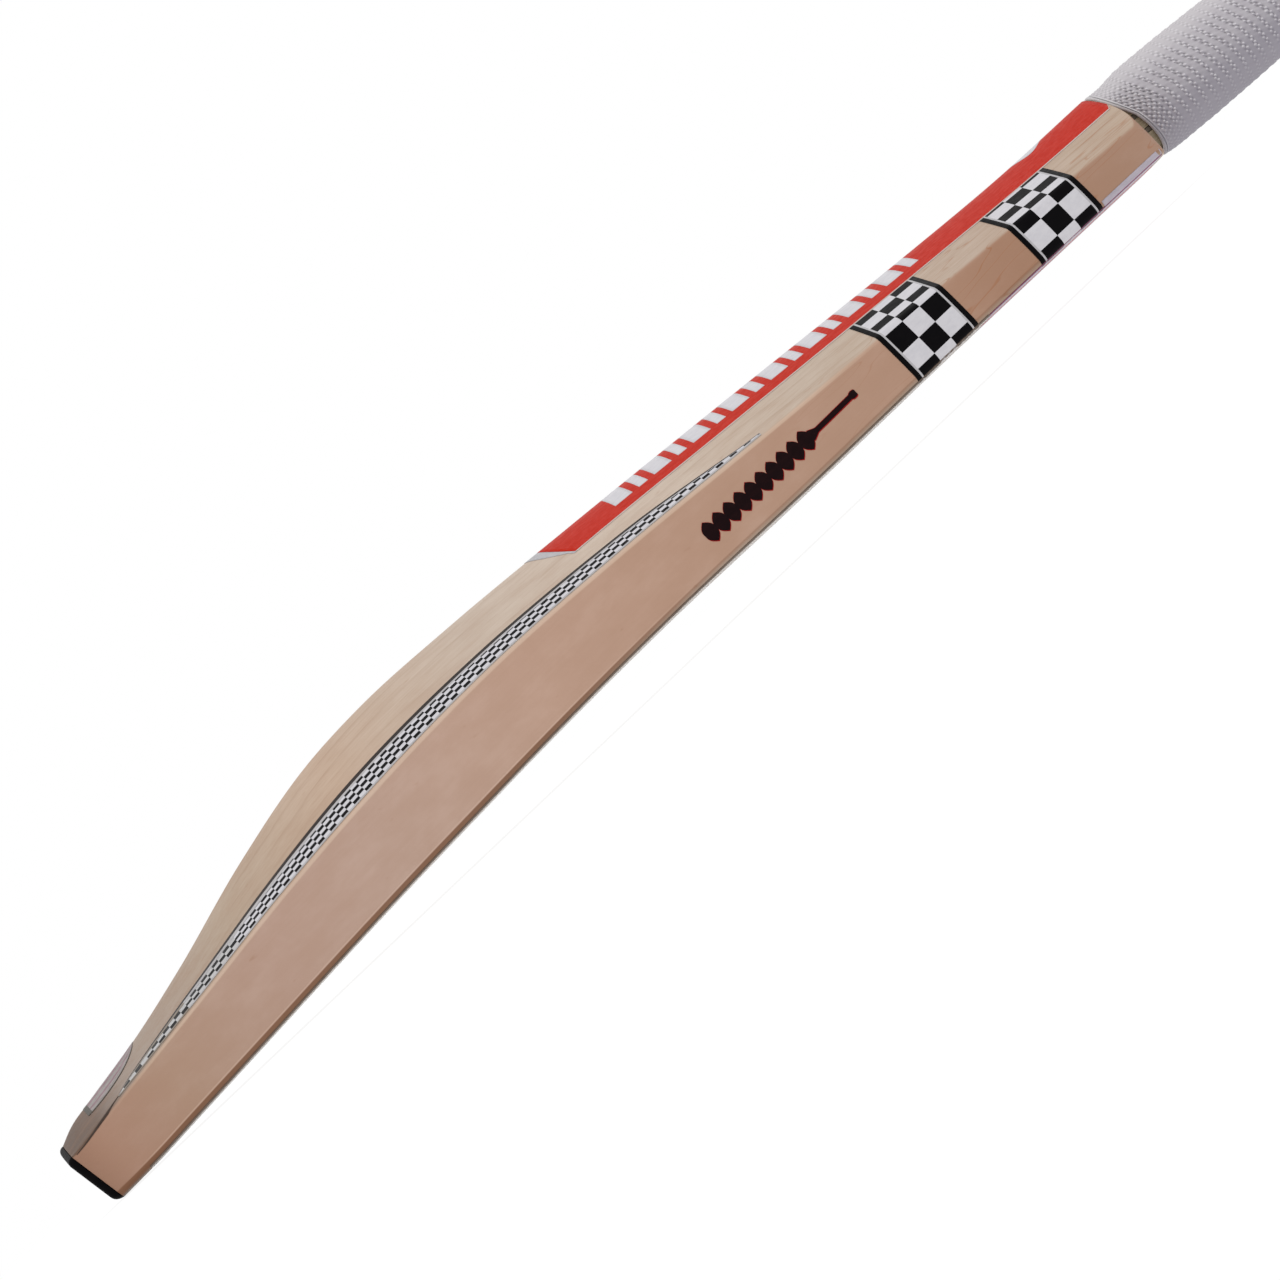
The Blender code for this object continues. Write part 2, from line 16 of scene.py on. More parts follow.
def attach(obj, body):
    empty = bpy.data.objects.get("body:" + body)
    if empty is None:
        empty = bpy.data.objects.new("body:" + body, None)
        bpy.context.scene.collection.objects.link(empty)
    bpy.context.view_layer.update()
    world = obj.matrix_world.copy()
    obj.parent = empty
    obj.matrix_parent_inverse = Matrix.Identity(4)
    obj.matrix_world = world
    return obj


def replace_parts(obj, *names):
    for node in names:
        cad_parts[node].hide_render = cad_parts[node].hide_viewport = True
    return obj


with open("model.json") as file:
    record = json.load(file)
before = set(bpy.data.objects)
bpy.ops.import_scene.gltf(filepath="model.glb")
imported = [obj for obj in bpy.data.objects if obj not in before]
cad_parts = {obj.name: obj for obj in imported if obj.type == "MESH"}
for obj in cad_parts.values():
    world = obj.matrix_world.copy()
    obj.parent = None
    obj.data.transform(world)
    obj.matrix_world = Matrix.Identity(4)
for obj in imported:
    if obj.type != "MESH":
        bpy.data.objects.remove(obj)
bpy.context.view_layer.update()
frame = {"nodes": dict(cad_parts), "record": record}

MM = 0.001

# The bat's shape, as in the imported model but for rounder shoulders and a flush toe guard
BLADE_START = 1.3
BLADE_LENGTH = 565
HALF_WIDTH = 53.3
EDGE_BULGE = 0.4
FACE_CROWN = 0.8
FACE_CORNER = 4.5
BACK_CORNER = 2.2
RIDGE_ROUNDING = 8
BACK_FULLNESS = 0.12
TOE_SLANT = math.tan(math.radians(8))
SLANT_REACH = 60
TOE_ROUND = (9, 6)
SHOULDER_ROUND = (8, 34)
SPLICE_LENGTH = 150
SPLICE_HALF_WIDTH = 16.5
SPLICE_TIP = 1.5
SPLICE_GAP = 0.25
SPLICE_CUT_HEIGHTS = (-40, 120)
SPLICE_CUT_PAST = 20
GUARD_START = -1.95
GUARD_END = 1
GUARD_ROUNDING = 2.8
HANDLE_START = (575, 0, 18.2)
HANDLE_DROP = math.radians(5.2)
HANDLE_LENGTH = 280
HANDLE_MOUNT_HEIGHT = -3.6
TWINE_PITCH = 1.1
GRIP_ROLL = 276
GRIP_END = 279
GRIP_THICKNESS = 1.9
GRIP_SIDES = 0.92
RIM_LOW = -2.5
RIM_TILT = -5.3
RIM_SWEEP = -2.2
RIM_SAG = -3.6

# Stations along the blade: place, height of the face, edge thickness, depth at the spine
STATIONS = np.array((
    (0, 0.0, 23.5, 29.3),
    (8, 0.0, 24.6, 32.8),
    (20, 0.1, 26.4, 34.9),
    (40, 1.0, 28.0, 37.4),
    (75, 2.5, 30.4, 43.8),
    (120, 4.5, 33.5, 54.1),
    (165, 6.1, 35.4, 61.1),
    (195, 6.8, 36.0, 61.88),
    (240, 7.6, 35.4, 58.8),
    (300, 7.4, 32.0, 53.6),
    (375, 5.0, 27.3, 48.4),
    (470, 2.8, 21.4, 40.6),
    (520, 1.2, 18.4, 37.9),
    (565, -0.4, 15.8, 37.6),
))

# The grip's radius, by place along the handle
GRIP_RADII = np.array((
    (-10, 18.4), (-1.5, 18.6), (4, 19.5), (12, 19.85), (40, 19.6), (90, 18.2), (150, 17.6), (276, 17.6),
    (279, 17.3),
))
GRIP_MEAN_RADIUS = 18

# Points of half a section, and where its corners lie
FACE_POINTS = 10
CORNER_STEPS = 12
EDGE_POINTS = 12
BACK_STEPS = 8
SLOPE_POINTS = 34
FACE_CORNER_START = FACE_POINTS
FACE_CORNER_END = FACE_POINTS + CORNER_STEPS
BACK_CORNER_INDEX = FACE_CORNER_END + EDGE_POINTS + 1 + BACK_STEPS

# Printed pieces: how far each lies above the wood, and how thick it is
LIFT = 0.06
STRIP_LIFT = 0.1
PRINT_LIFT = 0.16
VINYL = 0.1
INK = 0.03

# Chequered bands: span along the blade, and how far up from the back corner each row of squares starts
BANDS = {
    "lower": ((428.4, 460.6), (-20.9, -12.4, -3.2, 2.3, 8.8, 17.2)),
    "upper": ((494.5, 527.2), (-16.4, -7.2, -0.8, 5.0, 12.0, 21.0)),
}
BAND_BORDER = 2.1
BAND_LINE = 0.8
BAND_COLUMNS = 3

# Chequered strip along each edge of the back: its upper outline's distance from the back corner, by place
STRIP_OUTLINE = np.array((
    (27, 0.4), (32, 5.0), (40, 8.4), (50, 10.9), (60, 12.3), (80, 13.3), (100, 13.2), (135, 13.7),
    (170, 14.1), (222, 13.2), (260, 12.2), (292, 11.0), (322, 8.5), (340, 5.6), (352, 3.4), (362, 1.6),
    (371, 0.6),
))
STRIP_BASE = -1.2
STRIP_LOOKS = ("dark_line", "strip_silver", "black", "shaded_strip_white", "shaded_strip_silver", "white")

# Its dark upper line and the pale gap under the line, as shares of its width
STRIP_LINE_SHARE = 0.16
STRIP_GAP_PLACES = (60, 110, 180)
STRIP_GAP_SHARES = (0.18, 0.16, 0.09)

# Its squares: one row at the toe end, one more from each of these counts of squares, and all from the last
CHECK_BASE = -0.2
CHECK_LENGTH = 3.33
CHECK_WIDTH = 2.15
CHECK_ROWS = 5
CHECK_ROW_STARTS = (5, 12, 21)
ROW_START_STEP = 0.02
LEAST_ROW_HEIGHT = 0.02

# Its thin dark tail towards the toe is painted shade along the back corner: distance of its middle from the
# back corner and half its width, by place
SHADE_LINE_PLACES = (3, 12, 20, 27)
SHADE_LINE_MIDDLES = (-2.2, -1.9, -1.5, 0.1)
SHADE_LINE_HALVES = (0.15, 0.45, 0.75, 0.35)

# Labels
SPINE_HALF = 30
SPINE_SPAN = (293, 564.8)
SPINE_POINT = 8
TAIL_POINT = 14
SPINE_BORDER = 1
BLOCK_SPAN = (317, 472)
BLOCK_LENGTHS = (8.6, 4.4)
BLOCK_GAP = 3.2
BLOCK_HALF = 20.5
OVAL_SPAN = (524, 543)
OVAL_HALF = 9
TOE_LABEL_SPAN = (15, 43.8)
TOE_LABEL_CENTRE = 24
TOE_LABEL_SIZE = (20, 31)
TOE_LABEL_BORDER = 2
TOE_LABEL_STRIPES = 8
DECAL_SPAN = (328, 408)
DECAL_LOZENGES = 10
DECAL_LOZENGE_SPAN = 56
DECAL_HALF_HEIGHTS = (1.2, 4.6)
DECAL_MIDDLE = (-18.2, -12.1)
DECAL_LAYERS = (("_outline", 0.3, LIFT, "decal_red"), ("_print", 0, PRINT_LIFT, "decal"))

# Sheet and label on the face: points of the corner that each wraps round, and cells counted from its side
SHEET_SPAN = (16, 466)
SHEET_ROWS = 150
SHEET_WRAP = 5
SHEET_EDGE_CELLS = 3
WEAVE_PITCH = 1.3
FACE_LABEL_SPAN = (466.3, 559)
FACE_LABEL_ROWS = 40
FACE_LABEL_WRAP = 9
FACE_LABEL_WIDENS = 528
FACE_LABEL_NARROWER_CELLS = 5
FACE_LABEL_PLUM_CELLS = (5, 6)
FACE_LABEL_RED_CELLS = (12, 13)

# Grip pimples, in rows of two staggered lines with pits between them
PIMPLES_ROUND = 46
PIMPLE_RADIUS = 0.68
PIMPLE_HEIGHT = 0.48
PIMPLE_STAGGER = 0.48
PIMPLE_JITTER = 0.1
PIMPLE_SEED = 4
PIT_DEPTH = 0.3
PIT_RADIUS = 0.5
LATER_PIT_SHADE = 0.7
FIRST_ROWS = (3.0, 5.6, 8.3, 11.2)
ROW_PITCH = 4.3
ROW_WAVER = 0.18
ROW_CROWN = 0.12
ROW_OFFSETS = (-1.1, -0.75, -0.4, 0, 0.4, 0.75, 1.1)
GRIP_FACETS = PIMPLES_ROUND * 6

# A pimple's rings: share of its radius, share of its height
PIMPLE_SIDES = 6
PIMPLE_RINGS = ((1.0, -0.1), (0.62, 0.75))

# The sleeve's lower lip: distance from the rim, rise above the sleeve, painted shade
GRIP_LIP = (
    (0, 0.6 - GRIP_THICKNESS, 0), (-0.1, -0.5, 0), (0.15, 0.12, 0), (0.7, 0.3, 0), (1.0, -0.15, 0.9),
    (1.35, 0.2, 0), (1.75, 0.02, 0),
)

# The sleeve's rolled end: place along the handle, rise above the sleeve
GRIP_TOP = ((GRIP_ROLL - 1, 0.1), (GRIP_ROLL + 1.2, 0.4), (GRIP_END, 0.1), (GRIP_END, 0.6 - GRIP_THICKNESS))

# Camera, in the bat's frame
LOOK_AT = (282.65, -54, 10.66)
VIEW_DISTANCE = 1800
VIEW_TURN = math.radians(7.5)
VIEW_ROLL = math.radians(45.05)
LENS = 134.9

FLOOR_HALF = 6


# ---- frame

def handle_points(along, across, height):
    """Points of the handle's own frame, whose axis drops towards the face."""
    along, across, height = np.broadcast_arrays(along, across, height)
    cos, sin = math.cos(HANDLE_DROP), math.sin(HANDLE_DROP)
    x = HANDLE_START[0] + along * cos + height * sin
    z = HANDLE_START[2] - along * sin + height * cos
    return np.stack((x, across + HANDLE_START[1], z), axis=-1)


def bat_pose():
    """The turn and the shift that lay the bat down, read from the mount at the handle's end."""
    mount = next(m for m in frame["record"]["mounts"] if m["name"] == "handle_end")
    tilt = HANDLE_DROP + math.atan2(mount["axis"][2], mount["axis"][0])
    turn = Matrix.Rotation(-tilt, 4, "Y") @ Matrix.Scale(MM, 4)
    end = Vector(handle_points(HANDLE_LENGTH, 0, HANDLE_MOUNT_HEIGHT))
    return Matrix.Translation(Vector(mount["pos_m"]) - turn @ end) @ turn


POSE = bat_pose()


def to_world(points):
    pose = np.array(POSE)
    return np.asarray(points) @ pose[:3, :3].T + pose[:3, 3]


# ---- shape of the blade

def curve_through(places, values, x):
    """A smooth cubic through the values at the places."""
    slopes = np.gradient(values, places)
    x = np.clip(x, places[0], places[-1])
    i = np.clip(np.searchsorted(places, x, side="right") - 1, 0, len(places) - 2)
    span = places[i + 1] - places[i]
    t = (x - places[i]) / span
    ends = values[i] * (1 + 2 * t) * (1 - t) ** 2 + values[i + 1] * t * t * (3 - 2 * t)
    return ends + span * (slopes[i] * t * (1 - t) ** 2 - slopes[i + 1] * t * t * (1 - t))


def station(x, column):
    return curve_through(STATIONS[:, 0], STATIONS[:, column], x)


def half_width(x):
    """Half the blade's width in plan, with a rounded toe and rounded shoulders."""
    toe_x, toe_y = TOE_ROUND
    shoulder_x, shoulder_y = SHOULDER_ROUND
    width = HALF_WIDTH
    if x < toe_x:
        width -= toe_y * (1 - math.sqrt(max(0, 1 - (1 - x / toe_x) ** 2)))
    past = (x - (BLADE_LENGTH - shoulder_x)) / shoulder_x
    if past > 0:
        width -= shoulder_y * (1 - math.sqrt(max(0, 1 - past * past)))
    return width


def face_height(x, y):
    return station(x, 1) + FACE_CROWN * (y / HALF_WIDTH) ** 2


def back_height(x, y):
    """The back slopes from the edges up to a rounded ridge."""
    ridge = RIDGE_ROUNDING
    full = math.hypot(HALF_WIDTH, ridge)
    rise = (full - np.hypot(y, ridge)) / (full - ridge)
    rise = rise + BACK_FULLNESS * rise * (1 - rise)
    edge, spine = station(x, 2), station(x, 3)
    return station(x, 1) + edge + (spine - edge) * rise


def corner(before, at, after, size, steps):
    """Points of a rounded corner, as a quadratic curve from one side to the other."""
    start = at + (before - at) / np.linalg.norm(before - at) * size
    end = at + (after - at) / np.linalg.norm(after - at) * size
    t = np.linspace(0, 1, steps + 1)[:, None]
    return start * (1 - t) ** 2 + at * 2 * t * (1 - t) + end * t ** 2


@functools.lru_cache(maxsize=None)
def half_section(x):
    """One side of the blade's section at x, from the middle of the face round to the ridge, as (y, z)."""
    wide = half_width(x)
    face_ys = np.linspace(0, wide - FACE_CORNER, FACE_POINTS + 1)
    face = np.stack((face_ys, face_height(x, face_ys)), axis=1)
    low = np.array((wide, face_height(x, wide)))
    high = np.array((wide, back_height(x, wide)))
    low_corner = corner(face[-1], low, high, FACE_CORNER, CORNER_STEPS)
    slope_y = wide - BACK_CORNER
    high_corner = corner(low, high, np.array((slope_y, back_height(x, slope_y))), BACK_CORNER, BACK_STEPS)
    t = np.linspace(0, 1, EDGE_POINTS + 2)[1:-1, None]
    sides = low_corner[-1] * (1 - t) + high_corner[0] * t + EDGE_BULGE * 4 * t * (1 - t) * (1, 0)
    slope_ys = slope_y * (1 - np.linspace(0, 1, SLOPE_POINTS + 1)[1:]) ** 1.4
    slope = np.stack((slope_ys, back_height(x, slope_ys)), axis=1)
    return np.concatenate((face[:-1], low_corner, sides, high_corner, slope))


def place(x, y, z):
    """Points of the blade. The toe's end leans, and the lean fades out along the blade."""
    x, y, z = np.broadcast_arrays(x, y, z)
    fade = np.maximum(0, 1 - x / SLANT_REACH) ** 2
    return np.stack((x - TOE_SLANT * fade * z, y, z), axis=-1)


def outward(half, distance):
    """The half section moved outwards by distance."""
    mirrored = half[[1, -2]] * (-1, 1)
    padded = np.concatenate((mirrored[:1], half, mirrored[1:]))
    along = padded[2:] - padded[:-2]
    along = along / np.linalg.norm(along, axis=1)[:, None]
    return half + np.stack((along[:, 1], -along[:, 0]), axis=1) * distance


def full_ring(x, half):
    ys = np.concatenate((half[:, 0], -half[-2:0:-1, 0]))
    zs = np.concatenate((half[:, 1], half[-2:0:-1, 1]))
    return place(x, ys, zs)


@functools.lru_cache(maxsize=None)
def girth(x, lift):
    """The half section moved out by lift, and each point's distance round it from the back corner."""
    half = outward(half_section(x), lift)
    steps = np.concatenate(([0], np.cumsum(np.linalg.norm(np.diff(half, axis=0), axis=1))))
    return half, steps - steps[BACK_CORNER_INDEX]


def girth_points(x, reaches, side, lift):
    """Points on the blade's skin, by distance from the back corner: positive up the back, negative down."""
    half, at = girth(float(x), lift)
    return place(x, side * np.interp(reaches, at, half[:, 0]), np.interp(reaches, at, half[:, 1]))


def face_corner_reach(x):
    """Where the face's rounded corner starts, as a distance from the back corner."""
    return girth(float(x), LIFT)[1][FACE_CORNER_START]


# ---- meshes

def linked(name, data):
    obj = bpy.data.objects.new(name, data)
    bpy.context.scene.collection.objects.link(obj)
    return obj


def piece(name, points, faces, materials, slots=None, smooth=40, pits=None):
    """A mesh piece from points in the bat's frame, riding with the bat."""
    mesh = bpy.data.meshes.new(name)
    mesh.from_pydata(to_world(points).tolist(), [], [list(map(int, face)) for face in faces])
    for material in materials:
        mesh.materials.append(material)
    if slots is not None:
        mesh.polygons.foreach_set("material_index", np.asarray(slots, dtype=np.int32))
    # The pit values are painted shade for the grip rubber, kept on the points.
    if pits is not None:
        attribute = mesh.attributes.new("pit", "FLOAT", "POINT")
        attribute.data.foreach_set("value", np.asarray(pits, dtype=np.float32))
    mesh.shade_smooth()
    mesh.set_sharp_from_angle(angle=math.radians(smooth))
    obj = linked(name, mesh)
    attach(obj, "root")
    return obj


def tube_faces(rings, count, capped):
    faces = []
    for i in range(rings - 1):
        for j in range(count):
            k = (j + 1) % count
            faces.append((i * count + j, i * count + k, (i + 1) * count + k, (i + 1) * count + j))
    if capped:
        faces.append(tuple(reversed(range(count))))
        faces.append(tuple(range((rings - 1) * count, rings * count)))
    return faces


def thicken(obj, thickness):
    wall = obj.modifiers.new("Wall", "SOLIDIFY")
    wall.thickness = thickness * MM
    wall.offset = 1
    return obj


def fine(marks, step):
    """The marks with even points between them, no further apart than step."""
    filled = [marks[0]]
    for a, b in zip(marks, marks[1:]):
        count = max(1, math.ceil((b - a) / step - 1e-6))
        filled += [a + (b - a) * i / count for i in range(1, count + 1)]
    return filled


def printed(name, rows, paint, materials, side=1, thickness=VINYL):
    """A thin printed sheet from a grid of points. paint gives each cell's material, or None for no cell."""
    rows = np.array(rows)
    count = rows.shape[1]
    faces, slots = [], []
    for i in range(len(rows) - 1):
        for j in range(count - 1):
            index = paint(i, j)
            if index is None:
                continue
            a, b = i * count + j, (i + 1) * count + j
            faces.append((a, a + 1, b + 1, b) if side > 0 else (a, b, b + 1, a + 1))
            slots.append(index)
    obj = piece(name, rows.reshape(-1, 3), faces, materials, slots)
    return thicken(obj, thickness)


def plain(i, j):
    """Paint for a sheet of one material."""
    return 0


# ---- materials

def socket_name(key):
    return key.replace("_", " ").title().replace("Ior", "IOR")


class Paint:
    """A Principled material whose nodes are added a line at a time."""

    def __init__(self, name, roughness=0.5, **settings):
        self.material = bpy.data.materials.new(name)
        self.material.use_nodes = True
        self.tree = self.material.node_tree
        self.shader = self.tree.nodes["Principled BSDF"]
        self.shader.inputs["Roughness"].default_value = roughness
        for key, value in settings.items():
            self.shader.inputs[socket_name(key)].default_value = value

    def node(self, kind, inputs, **settings):
        made = self.tree.nodes.new("ShaderNode" + kind)
        for key, value in settings.items():
            setattr(made, key, value)
        for key, value in inputs.items():
            self.link(value, made.inputs[key])
        return made

    def link(self, value, socket):
        if isinstance(value, bpy.types.NodeSocket):
            self.tree.links.new(value, socket)
        else:
            socket.default_value = value

    def bat_place(self):
        """Millimetres in the bat's frame."""
        coordinates = self.tree.nodes.new("ShaderNodeTexCoord")
        inverse = POSE.inverted()
        turn = inverse.to_3x3().normalized().to_euler()
        return self.node("Mapping", {
            "Vector": coordinates.outputs["Object"],
            "Scale": (1 / MM, 1 / MM, 1 / MM),
            "Rotation": turn,
            "Location": inverse.to_translation(),
        }).outputs[0]

    def stretch(self, vector, scale):
        return self.node("Mapping", {"Vector": vector, "Scale": scale}).outputs[0]

    def part(self, vector, axis):
        return self.node("SeparateXYZ", {"Vector": vector}).outputs[axis]

    def calc(self, operation, *values):
        return self.node("Math", dict(enumerate(values)), operation=operation).outputs[0]

    def noise(self, vector, scale=1.0, detail=3.0, roughness=0.5):
        inputs = {"Vector": vector, "Scale": scale, "Detail": detail, "Roughness": roughness}
        return self.node("TexNoise", inputs).outputs["Fac"]

    def ramp(self, value, stops):
        """A colour that runs through the stops, each a place and a colour."""
        low, high = stops[0][0], stops[-1][0]
        inputs = {"Value": value, "From Min": low, "From Max": high}
        made = self.node("ValToRGB", {"Fac": self.node("MapRange", inputs).outputs[0]})
        elements = made.color_ramp.elements
        while len(elements) < len(stops):
            elements.new(1)
        for element, (place_at, colour) in zip(elements, stops):
            element.position = (place_at - low) / (high - low)
            element.color = rgb(*colour)
        return made.outputs["Color"]

    def upward(self):
        """How far the surface faces up: 1 for the top, 0 for upright sides, -1 below."""
        return self.part(self.tree.nodes.new("ShaderNodeNewGeometry").outputs["Normal"], "Z")

    def step(self, value, low, high, to_low=0.0, to_high=1.0):
        inputs = {"Value": value, "From Min": low, "From Max": high, "To Min": to_low, "To Max": to_high}
        return self.node("MapRange", inputs, interpolation_type="SMOOTHSTEP").outputs[0]

    def mix(self, factor, first, second):
        made = self.node("Mix", {}, data_type="RGBA")
        self.link(factor, made.inputs[0])
        self.link(first, made.inputs[6])
        self.link(second, made.inputs[7])
        return made.outputs[2]

    def bump(self, height, distance, strength=1.0):
        made = self.node("Bump", {"Height": height, "Distance": distance * MM, "Strength": strength})
        self.link(made.outputs[0], self.shader.inputs["Normal"])

    def finish(self, **inputs):
        for key, value in inputs.items():
            self.link(value, self.shader.inputs[socket_name(key)])
        return self.material


def rgb(red, green, blue):
    """A colour from 0 to 255 screen values, as the linear values that nodes take."""
    def linear(value):
        value /= 255
        return value / 12.92 if value <= 0.04045 else ((value + 0.055) / 1.055) ** 2.4
    return (linear(red), linear(green), linear(blue), 1)


# Willow colours by place along the blade, for the edges and for the back and face. Both darken towards the
# toe and the shoulders, partly the wood's own tone and partly painted shade; the back's very dark toe end is
# painted shade, where the back turns down to the toe.
EDGE_COLOURS_AND_SHADE = (
    (0, (150, 114, 95)), (12, (163, 128, 109)), (45, (168, 138, 119)), (100, (178, 149, 134)),
    (165, (182, 154, 139)), (240, (184, 152, 134)), (320, (177, 143, 123)), (420, (173, 139, 119)),
    (486, (159, 122, 100)), (565, (161, 129, 110)),
)
BACK_COLOURS_AND_SHADE = (
    (0, (72, 54, 42)), (14, (88, 70, 58)), (30, (142, 128, 118)), (45, (153, 138, 125)),
    (60, (156, 138, 123)), (100, (170, 151, 132)), (165, (185, 161, 141)), (240, (189, 173, 158)),
    (320, (194, 178, 163)), (420, (182, 166, 150)), (486, (179, 160, 144)), (565, (177, 158, 140)),
)


def willow():
    """Pale willow: straight growth lines down the face and back, and a pinker, softer figure on the edges.
    The edges' darker tone and the darker toe and shoulder ends are in part painted shade.
    """
    wood = Paint("willow", specular_ior_level=0.12)
    spot = wood.bat_place()
    along = wood.part(spot, "X")
    up = wood.upward()
    flat = wood.step(wood.calc("ABSOLUTE", up), 0.3, 0.8)
    line = growth_lines(wood, spot)
    pore = wood.noise(wood.stretch(spot, (0.02, 1.2, 1.2)), detail=4, roughness=0.6)
    # The upright edges take the edge colours and the back and face take the back colours; the edges' darker
    # tone is in part painted shade.
    colour = wood.mix(flat, wood.ramp(along, EDGE_COLOURS_AND_SHADE), wood.ramp(along, BACK_COLOURS_AND_SHADE))
    colour = with_grain(wood, colour, spot, flat, line, pore)
    colour = with_figure(wood, colour, spot, along)
    colour = with_painted_corner_light(wood, colour, along, up)
    wood.bump(wood.calc("ADD", pore, wood.calc("MULTIPLY", line, -0.6)), 0.05, 0.4)
    return wood.finish(base_color=colour, roughness=wood.step(pore, 0.2, 0.8, 0.46, 0.6))


def growth_lines(wood, spot):
    """Thin lines 11.5 mm apart that wander a little along the blade."""
    wander = wood.noise(wood.stretch(spot, (0.006, 0.02, 0.02)), detail=2)
    drift = wood.calc("MULTIPLY", wood.calc("SUBTRACT", wander, 0.5), 26)
    across = wood.calc("ADD", wood.part(spot, "Y"), drift)
    return wood.calc("POWER", wood.calc("FRACT", wood.calc("DIVIDE", across, 11.5)), 6)


def with_grain(wood, colour, spot, flat, line, pore):
    """Growth lines on the flat sides, and fine pores all over."""
    streak = wood.noise(wood.stretch(spot, (0.012, 0.2, 0.2)), detail=3)
    grain = wood.calc("MULTIPLY", line, wood.step(streak, 0.35, 0.7, 0.08, 0.32))
    colour = wood.mix(wood.calc("MULTIPLY", grain, flat), colour, rgb(132, 98, 72))
    fine_grain = wood.calc("MULTIPLY", wood.step(pore, 0.4, 0.75, 0, 0.2), wood.step(flat, 0, 1, 0.25, 1))
    return wood.mix(fine_grain, colour, rgb(146, 114, 92))


def with_figure(wood, colour, spot, along):
    """Soft clouds and flecks, and thin brown seams in the half near the handle."""
    cloud = wood.noise(wood.stretch(spot, (0.045, 0.09, 0.09)), detail=4, roughness=0.6)
    fleck = wood.noise(wood.stretch(spot, (0.12, 0.3, 0.3)), detail=2)
    seam = wood.noise(wood.stretch(spot, (0.02, 0.16, 0.16)), detail=1)
    colour = wood.mix(wood.step(cloud, 0.3, 0.75, 0, 0.22), colour, rgb(158, 122, 98))
    colour = wood.mix(wood.step(cloud, 0.55, 0.2, 0, 0.09), colour, rgb(208, 184, 170))
    colour = wood.mix(wood.step(fleck, 0.7, 0.8, 0, 0.3), colour, rgb(150, 108, 80))
    near_seam = wood.step(wood.calc("ABSOLUTE", wood.calc("SUBTRACT", seam, 0.5)), 0.014, 0, 0, 0.4)
    near_seam = wood.calc("MULTIPLY", near_seam, wood.step(along, 350, 470))
    return wood.mix(near_seam, colour, rgb(150, 92, 52))


def with_painted_corner_light(wood, colour, along, up):
    """A painted highlight on the back corner, painted shade on the face corner, and a painted highlight on
    the crease above it in the toe half.
    """
    # Painted highlight along the rounded back corner, where it turns up towards the light.
    ridge = wood.calc("MULTIPLY", wood.step(up, 0.08, 0.25), wood.step(up, 0.7, 0.45))
    ridge = wood.calc("MULTIPLY", ridge, wood.step(along, 12, 60, 0, 0.35))
    ridge = wood.calc("MULTIPLY", ridge, wood.step(along, 450, 380))
    colour = wood.mix(ridge, colour, rgb(222, 200, 178))
    # Painted shade on the face corner's rounding, which faces down.
    below = wood.calc("MULTIPLY", wood.step(up, -0.27, -0.38), wood.step(up, -0.97, -0.85))
    below = wood.calc("MULTIPLY", below, wood.step(along, 230, 340, 0.85, 0.4))
    colour = wood.mix(below, colour, rgb(116, 78, 54))
    # Painted highlight on a thin crease between the edge and the shaded face corner.
    crease = wood.calc("MULTIPLY", wood.step(up, -0.18, -0.23), wood.step(up, -0.34, -0.27))
    crease = wood.calc("MULTIPLY", crease, wood.step(along, 8, 25, 0, 0.3))
    crease = wood.calc("MULTIPLY", crease, wood.step(along, 340, 230))
    return wood.mix(crease, colour, rgb(214, 186, 168))


def cane():
    # The cane's colour is a dull olive grey, darkened in part as painted shade for the gap under the grip's
    # rim.
    wood = Paint("cane", specular_ior_level=0.15)
    spot = wood.bat_place()
    fibre = wood.noise(wood.stretch(spot, (0.02, 2.2, 2.2)), detail=4, roughness=0.65)
    dots = wood.noise(wood.stretch(spot, (0.05, 5, 5)), detail=2)
    colour = wood.mix(wood.step(fibre, 0.3, 0.7), rgb(160, 148, 126), rgb(134, 121, 98))
    colour = wood.mix(wood.step(dots, 0.6, 0.75, 0, 0.6), colour, rgb(84, 68, 50))
    wood.bump(fibre, 0.06)
    return wood.finish(base_color=colour, roughness=wood.step(fibre, 0.3, 0.7, 0.5, 0.65))


def dark_rubber(name, low, high, roughness, gloss=0.12):
    rubber = Paint(name, specular_ior_level=gloss)
    spot = rubber.bat_place()
    speck = rubber.noise(spot, 1.6, detail=4, roughness=0.6)
    worn = rubber.noise(spot, 0.12, detail=3)
    colour = rubber.mix(rubber.step(worn, 0.35, 0.7), low, high)
    rubber.bump(speck, 0.05, 0.6)
    rough = rubber.step(speck, 0.2, 0.8, roughness - 0.08, roughness + 0.08)
    return rubber.finish(base_color=colour, roughness=rough)


def twine():
    """Waxed thread wound round the handle."""
    thread = Paint("twine", 0.8)
    spot = thread.bat_place()
    turn = thread.calc("SINE", thread.calc("MULTIPLY", thread.part(spot, "X"), 2 * math.pi / TWINE_PITCH))
    fuzz = thread.noise(spot, 2.5, detail=4)
    # Painted shade: darker in the grooves between the turns.
    colour = thread.mix(thread.step(turn, -1, 1), rgb(150, 128, 92), rgb(226, 208, 170))
    colour = thread.mix(thread.step(fuzz, 0.3, 0.7, 0, 0.35), colour, rgb(190, 168, 128))
    thread.bump(thread.calc("ADD", turn, fuzz), 0.15)
    return thread.finish(base_color=colour)


